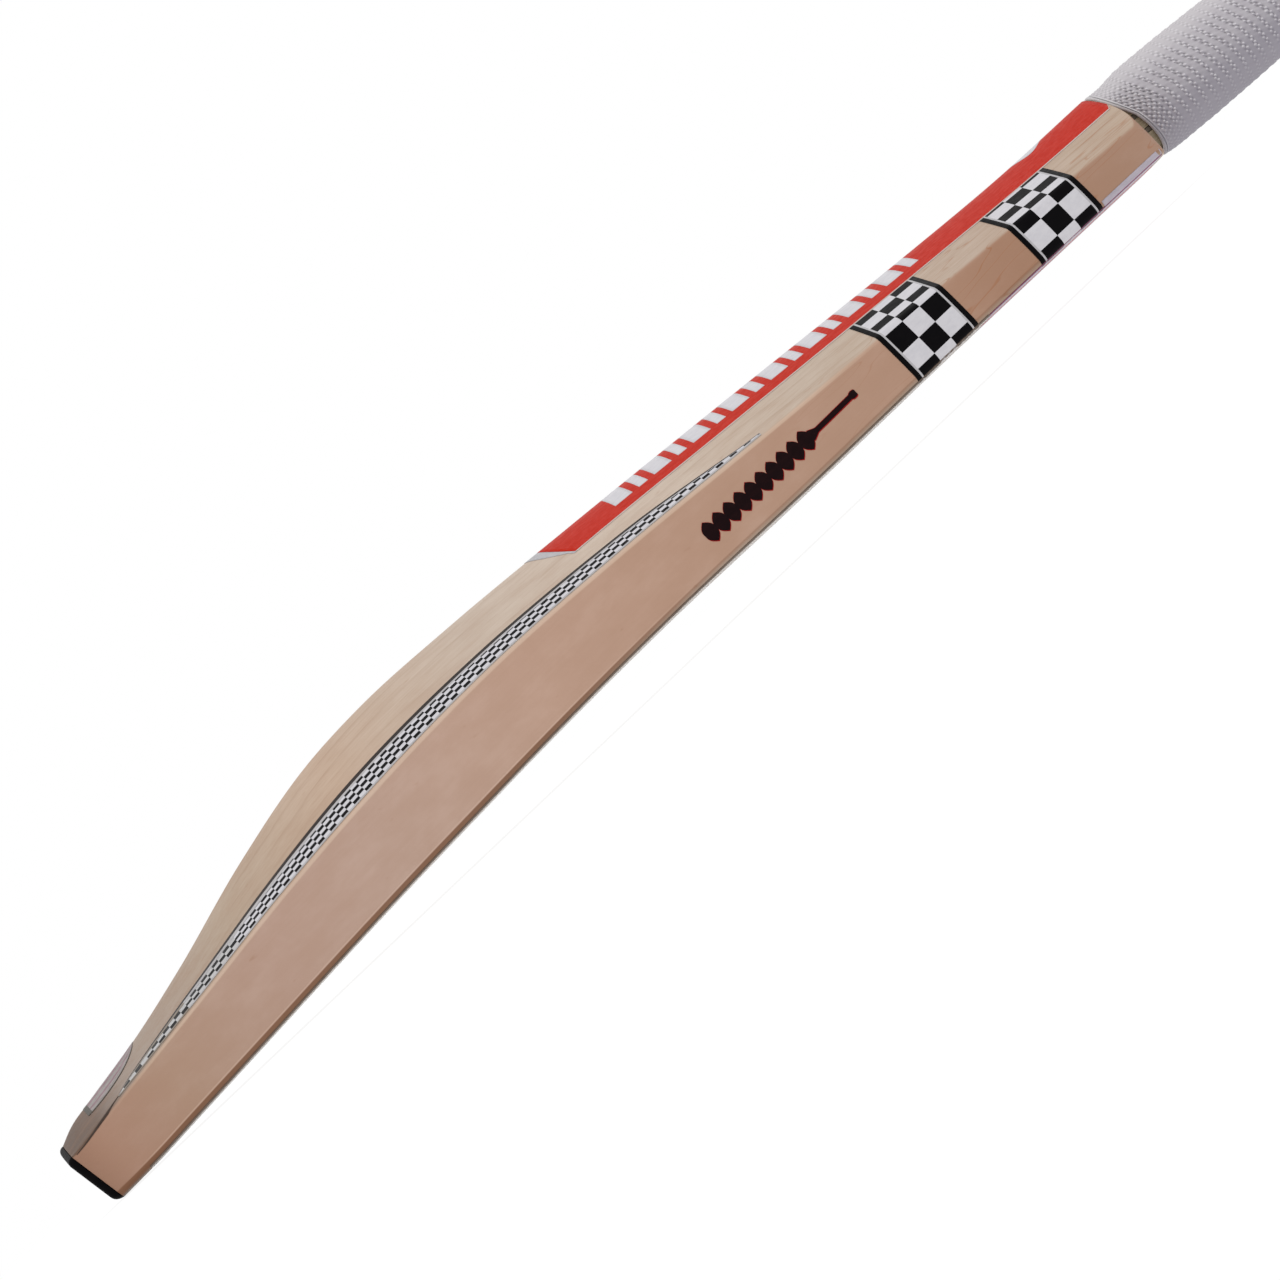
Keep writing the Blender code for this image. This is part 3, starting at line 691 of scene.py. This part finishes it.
def grip_rubber(name, colour_low, colour_high, roughness=0.6):
    """Soft lilac-grey rubber, a little mottled and matt, with painted shade in its pits and on its under
    side, and a painted highlight on its top.
    """
    rubber = Paint(name, specular_ior_level=0.12)
    spot = rubber.bat_place()
    up = rubber.upward()
    mottle = rubber.noise(spot, 0.35, detail=4, roughness=0.6)
    skin = rubber.noise(spot, 4.0, detail=3)
    colour = rubber.mix(rubber.step(mottle, 0.3, 0.7), colour_low, colour_high)
    pit = rubber.node("Attribute", {}, attribute_name="pit").outputs["Fac"]
    # Painted highlight: lighter where the sleeve faces up.
    colour = rubber.mix(rubber.step(up, 0.35, 0.9, 0, 0.6), colour, rgb(196, 192, 194))
    # Painted shade in the pits, read from the pit attribute.
    colour = rubber.mix(rubber.calc("MULTIPLY", pit, 0.95), colour, rgb(62, 59, 64))
    # Painted shade: darker where the sleeve faces down.
    colour = rubber.mix(rubber.step(up, 0.25, -0.5, 0, 0.7), colour, rgb(132, 128, 138))
    rubber.bump(skin, 0.03, 0.5)
    rough = rubber.step(skin, 0.3, 0.7, roughness - 0.06, roughness + 0.08)
    return rubber.finish(base_color=colour, roughness=rough)


def vinyl(name, colour, shade, roughness=0.34):
    """Printed vinyl with a faint unevenness in its ink and gloss."""
    film = Paint(name, specular_ior_level=0.05)
    spot = film.bat_place()
    ink = film.noise(film.stretch(spot, (0.25, 0.6, 0.6)), detail=4, roughness=0.6)
    wave = film.noise(spot, 0.05, detail=2)
    mixed = film.mix(film.step(ink, 0.3, 0.75), colour, shade)
    film.bump(wave, 0.12, 0.4)
    rough = film.step(ink, 0.3, 0.7, roughness - 0.05, roughness + 0.07)
    return film.finish(base_color=mixed, roughness=rough)


def clear_sheet():
    """The see-through fibre sheet on the face: a fine square weave under gloss."""
    film = Paint("clear_sheet", alpha=0.3, coat_weight=0.6, coat_roughness=0.12)
    spot = film.bat_place()
    strands = [film.calc("SINE", film.calc("MULTIPLY", film.part(spot, axis), 2 * math.pi / WEAVE_PITCH))
               for axis in ("X", "Y")]
    weave = film.calc("MULTIPLY", *strands)
    cloud = film.noise(spot, 0.06, detail=3)
    colour = film.mix(film.step(weave, -0.6, 0.6), rgb(196, 190, 186), rgb(222, 219, 216))
    colour = film.mix(film.step(cloud, 0.3, 0.7, 0, 0.3), colour, rgb(188, 176, 166))
    film.bump(weave, 0.04, 0.6)
    return film.finish(base_color=colour, roughness=film.step(cloud, 0.3, 0.7, 0.22, 0.34))


def make_materials():
    return {
        "willow": willow(),
        "cane": cane(),
        "spring": dark_rubber("spring_rubber", rgb(92, 85, 75), rgb(104, 96, 86), 0.7),
        "twine": twine(),
        "toe": dark_rubber("toe_rubber", rgb(4, 3, 4), rgb(10, 7, 8), 0.6, 0.04),
        "grip": grip_rubber("grip_rubber", rgb(173, 168, 174), rgb(181, 177, 182)),
        # The pimples and the lip take lighter copies of the grip rubber, as painted highlight on the raised
        # parts.
        "pimple": grip_rubber("highlit_pimple_rubber", rgb(194, 190, 196), rgb(205, 202, 206), 0.5),
        "lip": grip_rubber("highlit_lip_rubber", rgb(198, 195, 198), rgb(208, 206, 208), 0.5),
        "clear": clear_sheet(),
        "sheet_edge": vinyl("sheet_edge_film", rgb(112, 98, 88), rgb(98, 84, 74), 0.35),
        "red": vinyl("red_vinyl", rgb(184, 35, 12), rgb(175, 31, 10), 0.45),
        "white": vinyl("white_vinyl", rgb(200, 198, 202), rgb(192, 190, 195)),
        "silver": vinyl("silver_vinyl", rgb(178, 176, 178), rgb(166, 164, 167), 0.4),
        "border": vinyl("border_vinyl", rgb(192, 178, 172), rgb(182, 168, 162), 0.4),
        "black": vinyl("black_vinyl", rgb(4, 3, 5), rgb(8, 6, 8), 0.45),
        "dark_line": vinyl("dark_line_vinyl", rgb(40, 33, 31), rgb(54, 45, 41), 0.45),
        "strip_silver": vinyl("strip_silver_vinyl", rgb(178, 175, 176), rgb(167, 164, 165), 0.4),
        # Shaded copies of the silver and white vinyls for the strip near the toe: painted shade where the
        # back turns down to the toe.
        "shaded_strip_silver": vinyl("strip_shade_vinyl", rgb(146, 137, 128), rgb(134, 125, 116), 0.45),
        "shaded_strip_white": vinyl("strip_white_vinyl", rgb(184, 183, 183), rgb(172, 170, 171), 0.4),
        # A dark vinyl line that paints the shade along the back corner near the toe.
        "tail": vinyl("painted_shade_line_vinyl", rgb(62, 51, 45), rgb(76, 64, 57), 0.5),
        "toe_film": vinyl("toe_label_vinyl", rgb(150, 141, 139), rgb(128, 118, 116), 0.45),
        "toe_print": vinyl("toe_label_ink", rgb(140, 108, 117), rgb(122, 94, 102), 0.45),
        "toe_border": vinyl("toe_label_border", rgb(70, 66, 60), rgb(86, 80, 73), 0.45),
        "lilac": vinyl("lilac_vinyl", rgb(176, 168, 178), rgb(164, 157, 166), 0.4),
        "plum": vinyl("plum_vinyl", rgb(128, 74, 100), rgb(112, 62, 86), 0.4),
        "decal": vinyl("decal_ink", rgb(20, 6, 8), rgb(28, 10, 12), 0.5),
        "decal_red": vinyl("decal_red_ink", rgb(160, 30, 30), rgb(140, 26, 26), 0.5),
    }


# ---- blade and toe guard

def blade_places():
    toe = np.array((BLADE_START, 1.8, 2.4, 3.1, 3.8, 4.5, 5.3, 6.2, 7.1, 8, 9, 10.5, 12, 14, 17))
    shoulder_x = SHOULDER_ROUND[0]
    body = np.arange(20, BLADE_LENGTH - shoulder_x, 3)
    turns = np.radians(np.linspace(0, 90, 26))
    return np.concatenate((toe, body, BLADE_LENGTH - shoulder_x * (1 - np.sin(turns))))


def splice_cutter():
    """A wedge with the splice's outline and a gap round it, deeper than the blade."""
    tip = BLADE_LENGTH - SPLICE_LENGTH - SPLICE_GAP
    top = BLADE_LENGTH + SPLICE_CUT_PAST
    half_top = SPLICE_TIP + (SPLICE_HALF_WIDTH - SPLICE_TIP) * (top - tip) / SPLICE_LENGTH
    outline = ((tip, SPLICE_TIP), (top, half_top), (top, -half_top), (tip, -SPLICE_TIP))
    points = [(x, y + math.copysign(SPLICE_GAP, y), z) for z in SPLICE_CUT_HEIGHTS for x, y in outline]
    mesh = bpy.data.meshes.new("splice_cutter")
    mesh.from_pydata(to_world(points).tolist(), [], tube_faces(2, len(outline), True))
    return linked("splice_cutter", mesh)


def cut(obj, cutter):
    """Takes the cutter out of the object for good."""
    modifier = obj.modifiers.new("Cut", "BOOLEAN")
    modifier.operation = "DIFFERENCE"
    modifier.solver = "EXACT"
    modifier.object = cutter
    graph = bpy.context.evaluated_depsgraph_get()
    result = bpy.data.meshes.new_from_object(obj.evaluated_get(graph))
    obj.modifiers.clear()
    obj.data = result
    bpy.data.objects.remove(cutter, do_unlink=True)


def make_blade(looks):
    places = blade_places()
    rings = [full_ring(x, half_section(float(x))) for x in places]
    count = len(rings[0])
    points = np.concatenate(rings)
    blade = piece("blade_body", points, tube_faces(len(rings), count, True), [looks["willow"]])
    cut(blade, splice_cutter())
    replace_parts(blade, "blade")


def make_toe_guard(looks):
    """A moulded rubber plate with rounded outer corners."""
    turns = np.radians(np.linspace(90, 0, 10))
    places = [GUARD_START + GUARD_ROUNDING * (1 - math.sin(turn)) for turn in turns] + [GUARD_END]
    insets = [GUARD_ROUNDING * (1 - math.cos(turn)) for turn in turns] + [0]
    half = half_section(BLADE_START)
    rings = [full_ring(BLADE_START, outward(half, -inset)) + (x - BLADE_START, 0, 0)
             for x, inset in zip(places, insets)]
    faces = tube_faces(len(rings), len(rings[0]), True)
    guard = piece("toe_guard_rubber", np.concatenate(rings), faces, [looks["toe"]], smooth=50)
    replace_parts(guard, "toe_guard")


# ---- printed pieces

def make_bands(looks):
    """Chequered bands over the edges: a black border, a silver line, and squares from the face corner up."""
    slots = [looks["black"], looks["silver"], looks["white"]]
    for level, (span, rows) in BANDS.items():
        inner = (span[0] + BAND_BORDER + BAND_LINE, span[1] - BAND_BORDER - BAND_LINE)
        columns = np.linspace(*inner, BAND_COLUMNS + 1)
        xs = fine([span[0], span[0] + BAND_BORDER, *columns, span[1] - BAND_BORDER, span[1]], 3)
        for side, word in ((1, "left"), (-1, "right")):
            make_band(f"band_{level}_{word}", xs, rows, columns, span, side, slots)


def make_band(node, xs, rows, columns, span, side, slots):
    """One band, whose lowest squares follow the face corner."""
    corner_reach = face_corner_reach(span[0])
    reaches = np.array(fine([corner_reach, *rows, SPINE_HALF], 0.4))
    grid = []
    for x in xs:
        shift = (face_corner_reach(x) - corner_reach) * np.clip(-reaches / 10, 0, 1)
        grid.append(girth_points(x, np.minimum(reaches + shift, label_side_reach(x)), side, LIFT))

    def paint(i, j):
        x = (xs[i] + xs[i + 1]) / 2
        reach = (reaches[j] + reaches[j + 1]) / 2
        if reach > label_side_reach(x):
            return None
        inset = min(x - span[0], span[1] - x)
        if inset < BAND_BORDER:
            return 0
        if inset < BAND_BORDER + BAND_LINE:
            return 1
        return 2 if (np.searchsorted(columns, x) + np.searchsorted(rows, reach)) % 2 == 0 else 0

    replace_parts(printed(node + "_print", grid, paint, slots, side), node)


def label_side_reach(x):
    """How far up the back from its corner the spine label's side lies."""
    half, reaches = girth(float(x), LIFT)
    return float(np.interp(-SPINE_HALF, -half[BACK_CORNER_INDEX:, 0], reaches[BACK_CORNER_INDEX:]))


def check_place(number):
    """Where that many squares from the strip's toe end lies."""
    return float(STRIP_OUTLINE[0, 0] + CHECK_LENGTH * number)


def strip_marks(x):
    """The strip's lines at x, as distances from the back corner, from its outline down to its lower edge."""
    top = float(curve_through(STRIP_OUTLINE[:, 0], STRIP_OUTLINE[:, 1], x))
    width = top - STRIP_BASE
    line = top - STRIP_LINE_SHARE * width
    limit = line - np.interp(x, STRIP_GAP_PLACES, STRIP_GAP_SHARES) * width
    started = sum(x > check_place(number) + ROW_START_STEP / 2 for number in CHECK_ROW_STARTS)
    if started < len(CHECK_ROW_STARTS):
        count = started + 1
        height = (limit - CHECK_BASE) / count
    else:
        count, height = CHECK_ROWS, CHECK_WIDTH
    rows = [min(CHECK_BASE + height * min(i, count), limit) for i in range(CHECK_ROWS, -1, -1)]
    return [top, line, *[max(row, STRIP_BASE) for row in rows], STRIP_BASE]


def strip_look(x, row):
    """The look of the strip's row of cells at x, or None where the row has no height."""
    marks = strip_marks(x)
    if marks[row] - marks[row + 1] < LEAST_ROW_HEIGHT:
        return None
    if row == 0:
        return "dark_line"
    if row in (1, CHECK_ROWS + 2):
        # Near the toe the pale gap and the white squares take the shaded copies, as painted shade.
        return "shaded_strip_silver" if x < check_place(CHECK_ROW_STARTS[1]) else "strip_silver"
    if (int((x - STRIP_OUTLINE[0, 0]) / CHECK_LENGTH) + row) % 2 == 1:
        return "black"
    return "shaded_strip_white" if x < check_place(CHECK_ROW_STARTS[2]) else "white"


def make_strips(looks):
    low, high = STRIP_OUTLINE[0, 0], STRIP_OUTLINE[-1, 0]
    checks = int((high - low) / CHECK_LENGTH)
    xs = fine([low + CHECK_LENGTH * i for i in range(checks + 1)] + [high], CHECK_LENGTH / 2)
    xs = sorted(xs + [check_place(number) + ROW_START_STEP for number in CHECK_ROW_STARTS])
    slots = [looks[look] for look in STRIP_LOOKS]

    def paint(i, j):
        look = strip_look((xs[i] + xs[i + 1]) / 2, j)
        return None if look is None else STRIP_LOOKS.index(look)

    for side, word in ((1, "left"), (-1, "right")):
        node = f"edge_strip_{word}"
        grid = [girth_points(x, np.array(strip_marks(x)), side, STRIP_LIFT) for x in xs]
        strip = printed(node + "_print", grid, paint, slots, -side)
        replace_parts(strip, node)
        make_painted_shade_line(looks, node, side)


# The strip's tail: a dark line that paints the shade along the back corner near the toe.
def make_painted_shade_line(looks, node, side):
    grid = []
    for x in np.linspace(SHADE_LINE_PLACES[0], SHADE_LINE_PLACES[-1], 18):
        middle = np.interp(x, SHADE_LINE_PLACES, SHADE_LINE_MIDDLES)
        half = np.interp(x, SHADE_LINE_PLACES, SHADE_LINE_HALVES)
        grid.append(girth_points(x, middle + np.linspace(-half, half, 4), side, LIFT))
    printed(node + "_tail", grid, plain, [looks["tail"]], side)


def back_row(x, ys, lift):
    return place(x, ys, back_height(x, ys) + lift)


def make_spine_label(looks):
    """The red label with a pale edge, a pointed lower end and white blocks along the ridge."""
    low, high = SPINE_SPAN
    ys = np.array(fine([-SPINE_HALF, -SPINE_HALF + SPINE_BORDER, SPINE_HALF - SPINE_BORDER, SPINE_HALF], 1.3))
    point = 1 - np.abs(ys / SPINE_HALF) ** 1.5
    starts = low - SPINE_POINT * point
    red_grid = []
    for t in np.linspace(0, 1, 140):
        xs = starts + (high - starts) * t
        wide = np.array([half_width(float(x)) - BACK_CORNER for x in xs])
        red_grid.append(back_row(xs, np.clip(ys, -wide, wide), LIFT))

    def paint(i, j):
        return 1 if j in (0, len(ys) - 2) else 0

    red = printed("spine_label_print", red_grid, paint, [looks["red"], looks["border"]], side=-1)
    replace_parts(red, "spine_label")
    ends = starts - 0.1
    tips = np.minimum(low - 0.1 - TAIL_POINT * point, ends - 1.2)
    tail_grid = [back_row(tips + (ends - tips) * t, ys, LIFT) for t in np.linspace(0, 1, 5)]
    tail = printed("spine_tail_print", tail_grid, plain, [looks["silver"]], side=-1)
    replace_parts(tail, "spine_label_tail")
    make_blocks(looks)
    make_oval(looks)


def make_blocks(looks):
    """Plain white blocks, wide and narrow in turn, laid across the ridge."""
    ys = np.linspace(-BLOCK_HALF, BLOCK_HALF, 41)
    start, end = BLOCK_SPAN
    number = 0
    while start < end:
        length = BLOCK_LENGTHS[number % 2]
        number += 1
        grid = [back_row(start + length * t, ys, PRINT_LIFT) for t in np.linspace(0, 1, 5)]
        printed(f"spine_block_{number}", grid, plain, [looks["white"]], -1, INK)
        start += length + BLOCK_GAP


def make_oval(looks):
    """A small pointed oval across the ridge, near the handle."""
    start, end = OVAL_SPAN
    grid = []
    for t in np.linspace(0, 1, 13):
        half = max(0.05, OVAL_HALF * math.sin(math.pi * t))
        grid.append(back_row(start + (end - start) * t, np.linspace(-half, half, 11), PRINT_LIFT))
    printed("spine_oval", grid, plain, [looks["white"]], -1, INK)


def make_toe_label(looks):
    """A rounded label near the toe, with a dark border and plum stripes."""
    length, half = TOE_LABEL_SIZE
    xs = fine([TOE_LABEL_SPAN[0], TOE_LABEL_SPAN[0] + TOE_LABEL_BORDER, TOE_LABEL_SPAN[1]], 1.2)
    shares = np.linspace(-1, 1, 61)
    halves = [half * math.sqrt(max(0.0001, 1 - ((x - TOE_LABEL_CENTRE) / length) ** 2)) for x in xs]

    def paint(i, j):
        share = abs(shares[j] + shares[j + 1]) / 2
        wide = (halves[i] + halves[i + 1]) / 2
        if i < 2 or wide * (1 - share) < TOE_LABEL_BORDER:
            return 0
        return 2 if int(share * TOE_LABEL_STRIPES) % 3 == 2 else 1

    grid = [back_row(x, shares * wide, LIFT) for x, wide in zip(xs, halves)]
    slots = [looks["toe_border"], looks["toe_film"], looks["toe_print"]]
    label = printed("toe_label_print", grid, paint, slots, side=-1)
    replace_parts(label, "toe_label")


def decal_half_height(x):
    """The edge mark: a chain of lozenges that ends in a plain bar with a knob."""
    narrow, broad = DECAL_HALF_HEIGHTS
    run = (x - DECAL_SPAN[0]) / DECAL_LOZENGE_SPAN * DECAL_LOZENGES
    if run < DECAL_LOZENGES:
        return narrow + (broad - narrow) * (1 - abs(2 * (run % 1) - 1)) ** 0.6
    from_chain = x - DECAL_SPAN[0] - DECAL_LOZENGE_SPAN
    from_end = DECAL_SPAN[1] - x
    flare = 1.3 * max(0, 1 - from_chain / 3)
    knob = 0.5 * math.sqrt(max(0, 1 - ((from_end - 1.4) / 1.4) ** 2))
    return narrow - 0.15 + flare + knob


def make_decals(looks):
    low, high = DECAL_SPAN
    step = DECAL_LOZENGE_SPAN / DECAL_LOZENGES / 2
    marks = [low + step * i for i in range(2 * DECAL_LOZENGES + 1)] + [high]
    xs = fine(marks, 0.35)
    shares = np.array((-1, -0.5, 0, 0.5, 1))
    for side, word in ((1, "left"), (-1, "right")):
        node = f"edge_decal_{word}"
        for ending, grow, lift, look in DECAL_LAYERS:
            grid = []
            for x in xs:
                middle = np.interp(x, DECAL_SPAN, DECAL_MIDDLE)
                grid.append(girth_points(x, middle + shares * (decal_half_height(x) + grow), side, lift))
            mark = printed(node + ending, grid, plain, [looks[look]], side, INK)
            if ending == "_print":
                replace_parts(mark, node)


def face_grid(span, count, corner_index, lift):
    """Rows across the face and part of the way round both of its corners."""
    grid = []
    for x in np.linspace(*span, count):
        half = outward(half_section(float(x)), lift)[: corner_index + 1]
        ys = np.concatenate((-half[::-1, 0], half[1:, 0]))
        zs = np.concatenate((half[::-1, 1], half[1:, 1]))
        grid.append(place(x, ys, zs))
    return grid


def make_face_sheet(looks):
    """The clear sheet over the face, with a darker edge where it wraps round the corners."""
    top = FACE_CORNER_START + SHEET_WRAP

    def paint(i, j):
        return 1 if min(j, 2 * top - 1 - j) < SHEET_EDGE_CELLS else 0

    grid = face_grid(SHEET_SPAN, SHEET_ROWS, top, LIFT)
    sheet = printed("face_sheet_film", grid, paint, [looks["clear"], looks["sheet_edge"]])
    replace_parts(sheet, "face_sheet")


def make_face_label(looks):
    """The label at the top of the face: wider near the handle, with a plum and a red line along each side."""
    top = FACE_CORNER_START + FACE_LABEL_WRAP
    xs = np.linspace(*FACE_LABEL_SPAN, FACE_LABEL_ROWS)

    def paint(i, j):
        from_side = min(j, 2 * top - 1 - j)
        if from_side < FACE_LABEL_NARROWER_CELLS and xs[i] < FACE_LABEL_WIDENS:
            return None
        if from_side in FACE_LABEL_PLUM_CELLS:
            return 1
        return 2 if from_side in FACE_LABEL_RED_CELLS else 0

    grid = face_grid(FACE_LABEL_SPAN, FACE_LABEL_ROWS, top, LIFT)
    slots = [looks["lilac"], looks["plum"], looks["red"]]
    label = printed("face_label_print", grid, paint, slots, side=1)
    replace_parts(label, "face_label")


# ---- handle and grip

def grip_rim(angle):
    """Where the grip's lower rim lies: nearest the toe at the back, furthest from it at the face."""
    up = np.sin(angle)
    return RIM_LOW + RIM_TILT * up + RIM_SWEEP * up * up + RIM_SAG * np.maximum(up, 0) * (1 - up * up)


def grip_points(alongs, angles, rise):
    """Points that lie rise above the sleeve's skin between the pimples."""
    radius = np.minimum(curve_through(GRIP_RADII[:, 0], GRIP_RADII[:, 1], alongs), GRIP_RADII[:, 1].max())
    radius = radius - PIMPLE_HEIGHT + rise
    return handle_points(alongs, radius * GRIP_SIDES * np.cos(angles), radius * np.sin(angles))


def pimple_rows():
    """Distances of the pimple rows from the grip's rim."""
    rows = list(FIRST_ROWS)
    while rows[-1] + ROW_PITCH < GRIP_ROLL - 4:
        rows.append(rows[-1] + ROW_PITCH)
    return rows


def row_alongs(distance, angles):
    """Places along the handle of a row that lies that far from the rim. Each row wavers a little."""
    rim = grip_rim(angles)
    waver = ROW_WAVER * min(1, distance / 3) * np.sin(5 * angles + 0.9 * distance)
    return rim + (GRIP_ROLL - rim) * distance / (GRIP_ROLL - RIM_LOW) + waver


def pit_strength(offset, angles):
    """How deep the pits are, on two staggered lines a row's offset from its middle."""
    pitch = 2 * math.pi / PIMPLES_ROUND
    strength = 0
    for side in (-1, 1):
        turn = (angles / pitch + (0.5 if side > 0 else 0)) % 1
        across = np.minimum(turn, 1 - turn) * pitch * GRIP_MEAN_RADIUS
        strength = strength + np.exp(-(across ** 2 + (offset - side * PIMPLE_STAGGER) ** 2) / PIT_RADIUS ** 2)
    return strength


def side_share(angles, least):
    """1 at the sides of the grip, falling to least on its back and its face side, which hands have rubbed."""
    return np.clip(1 - (np.abs(np.sin(angles)) - 0.5) / 0.4, least, 1)


def make_grip(looks):
    """A sleeve with a lip, rows of pits and a rolled end, and the pimples on it."""
    angles = np.linspace(0, 2 * math.pi, GRIP_FACETS, endpoint=False)
    clean = np.zeros_like(angles)
    rows = pimple_rows()
    rings = [grip_points(row_alongs(distance, angles), angles, rise) for distance, rise, _ in GRIP_LIP]
    # The pit values carry painted shade: in the lip's groove and in the pits between the pimples.
    pits = [clean + pit for _, _, pit in GRIP_LIP]
    for row in rows:
        shade = 1 if row in FIRST_ROWS else LATER_PIT_SHADE
        for offset in ROW_OFFSETS:
            pit = pit_strength(offset, angles) * side_share(angles, 0.3)
            rise = ROW_CROWN * (1 - (offset / ROW_OFFSETS[-1]) ** 2)
            rings.append(grip_points(row_alongs(row + offset, angles), angles, rise - PIT_DEPTH * pit))
            pits.append(pit * shade)
    for along, rise in GRIP_TOP:
        rings.append(grip_points(np.full_like(angles, along), angles, rise))
        pits.append(clean)
    faces = tube_faces(len(rings), GRIP_FACETS, False)
    slots = [1 if i // GRIP_FACETS < len(GRIP_LIP) - 1 else 0 for i in range(len(faces))]
    sleeve = piece("grip_sleeve", np.concatenate(rings), faces, [looks["grip"], looks["lip"]],
                   slots, smooth=60, pits=np.concatenate(pits))
    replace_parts(sleeve, "grip")
    make_pimples(looks, rows)


def make_pimples(looks, rows):
    """Small domes in two staggered lines to each row."""
    chance = np.random.default_rng(PIMPLE_SEED)
    points, faces = [], []
    for row in rows:
        for k in range(PIMPLES_ROUND * 2):
            aside, onward, swell = chance.normal(0, PIMPLE_JITTER, 3)
            angle = math.pi * (k + 1) / PIMPLES_ROUND + aside / GRIP_MEAN_RADIUS
            middle = row + (PIMPLE_STAGGER if k % 2 else -PIMPLE_STAGGER) + onward
            faces += dome_faces(len(points) * (PIMPLE_SIDES * len(PIMPLE_RINGS) + 1))
            points.append(dome_points(middle, angle, PIMPLE_RADIUS * (1 + swell)))
    piece("grip_pimples", np.concatenate(points), faces, [looks["pimple"]], smooth=80)


def dome_points(middle, angle, radius):
    """The rings of a dome that stands on the sleeve, and its top."""
    ring = np.linspace(0, 2 * math.pi, PIMPLE_SIDES, endpoint=False)
    turns = [angle + radius * spread * np.cos(ring) / GRIP_MEAN_RADIUS for spread, _ in PIMPLE_RINGS]
    shifts = [radius * spread * np.sin(ring) for spread, _ in PIMPLE_RINGS]
    rises = [np.full(PIMPLE_SIDES, PIMPLE_HEIGHT * share) for _, share in PIMPLE_RINGS]
    turns = np.concatenate((*turns, [angle]))
    shifts = np.concatenate((*shifts, [0]))
    rises = np.concatenate((*rises, [PIMPLE_HEIGHT])) * side_share(angle, 0.4)
    return grip_points(row_alongs(middle, turns) + shifts, turns, rises)


def dome_faces(first):
    """The faces of a dome whose points start at first."""
    top = first + PIMPLE_SIDES * len(PIMPLE_RINGS)
    faces = []
    for j in range(PIMPLE_SIDES):
        a, b = first + j, first + (j + 1) % PIMPLE_SIDES
        faces.append((a, a + PIMPLE_SIDES, b + PIMPLE_SIDES, b))
        faces.append((a + PIMPLE_SIDES, top, b + PIMPLE_SIDES))
    return faces


def dress_handle(looks):
    """The handle's own pieces keep their solids and get their finishes."""
    for name, node in frame["nodes"].items():
        if name.startswith("handle_cane"):
            set_material(node, looks["cane"])
        elif name.startswith("handle_spring"):
            set_material(node, looks["spring"])
    set_material(frame["nodes"]["twine_binding"], looks["twine"])


def set_material(node, material):
    for slot in node.material_slots:
        slot.material = material


# ---- studio

def make_floor():
    mesh = bpy.data.meshes.new("floor")
    corners = [(FLOOR_HALF * x, FLOOR_HALF * y, 0) for x, y in ((-1, -1), (1, -1), (1, 1), (-1, 1))]
    mesh.from_pydata(corners, [], [(0, 1, 2, 3)])
    floor = linked("floor", mesh)
    paint = Paint("floor", 0.9, specular_ior_level=0, emission_color=(1, 1, 1, 1), emission_strength=0.88)
    mesh.materials.append(paint.finish(base_color=(0.15, 0.15, 0.15, 1)))


def make_light(name, location, target, size, power):
    data = bpy.data.lights.new(name, "AREA")
    data.shape = "RECTANGLE"
    data.size, data.size_y = size
    data.energy = power
    lamp = linked(name, data)
    lamp.location = location
    lamp.rotation_euler = (Vector(target) - Vector(location)).to_track_quat("-Z", "Y").to_euler()


def make_studio():
    scene = bpy.context.scene
    scene.view_settings.view_transform = "Standard"
    world = bpy.data.worlds.new("studio")
    world.use_nodes = True
    world.node_tree.nodes["Background"].inputs["Color"].default_value = (1, 1, 1, 1)
    world.node_tree.nodes["Background"].inputs["Strength"].default_value = 1.0
    scene.world = world
    make_floor()
    make_light("top", (0, -0.3, 1.6), (0, 0, 0), (1.8, 1.2), 5)


def make_camera():
    """Level with the bat, a little towards its toe, and rolled so that the bat runs corner to corner."""
    forward = Vector((math.sin(VIEW_TURN), math.cos(VIEW_TURN), 0))
    level = Vector((math.cos(VIEW_TURN), -math.sin(VIEW_TURN), 0))
    up = Vector((0, 0, 1))
    right = level * math.cos(VIEW_ROLL) - up * math.sin(VIEW_ROLL)
    top = level * math.sin(VIEW_ROLL) + up * math.cos(VIEW_ROLL)
    turn = POSE.to_3x3().normalized() @ Matrix((right, top, -forward)).transposed()
    place_at = POSE @ (Vector(LOOK_AT) - forward * VIEW_DISTANCE)
    data = bpy.data.cameras.new("camera")
    data.lens = LENS
    data.sensor_width = 36
    data.clip_start = 0.01
    camera = linked("camera", data)
    camera.matrix_world = Matrix.Translation(place_at) @ turn.to_4x4()
    bpy.context.scene.camera = camera


make_camera()
make_studio()
looks = make_materials()
make_blade(looks)
make_toe_guard(looks)
make_bands(looks)
make_strips(looks)
make_spine_label(looks)
make_toe_label(looks)
make_decals(looks)
make_face_sheet(looks)
make_face_label(looks)
make_grip(looks)
dress_handle(looks)
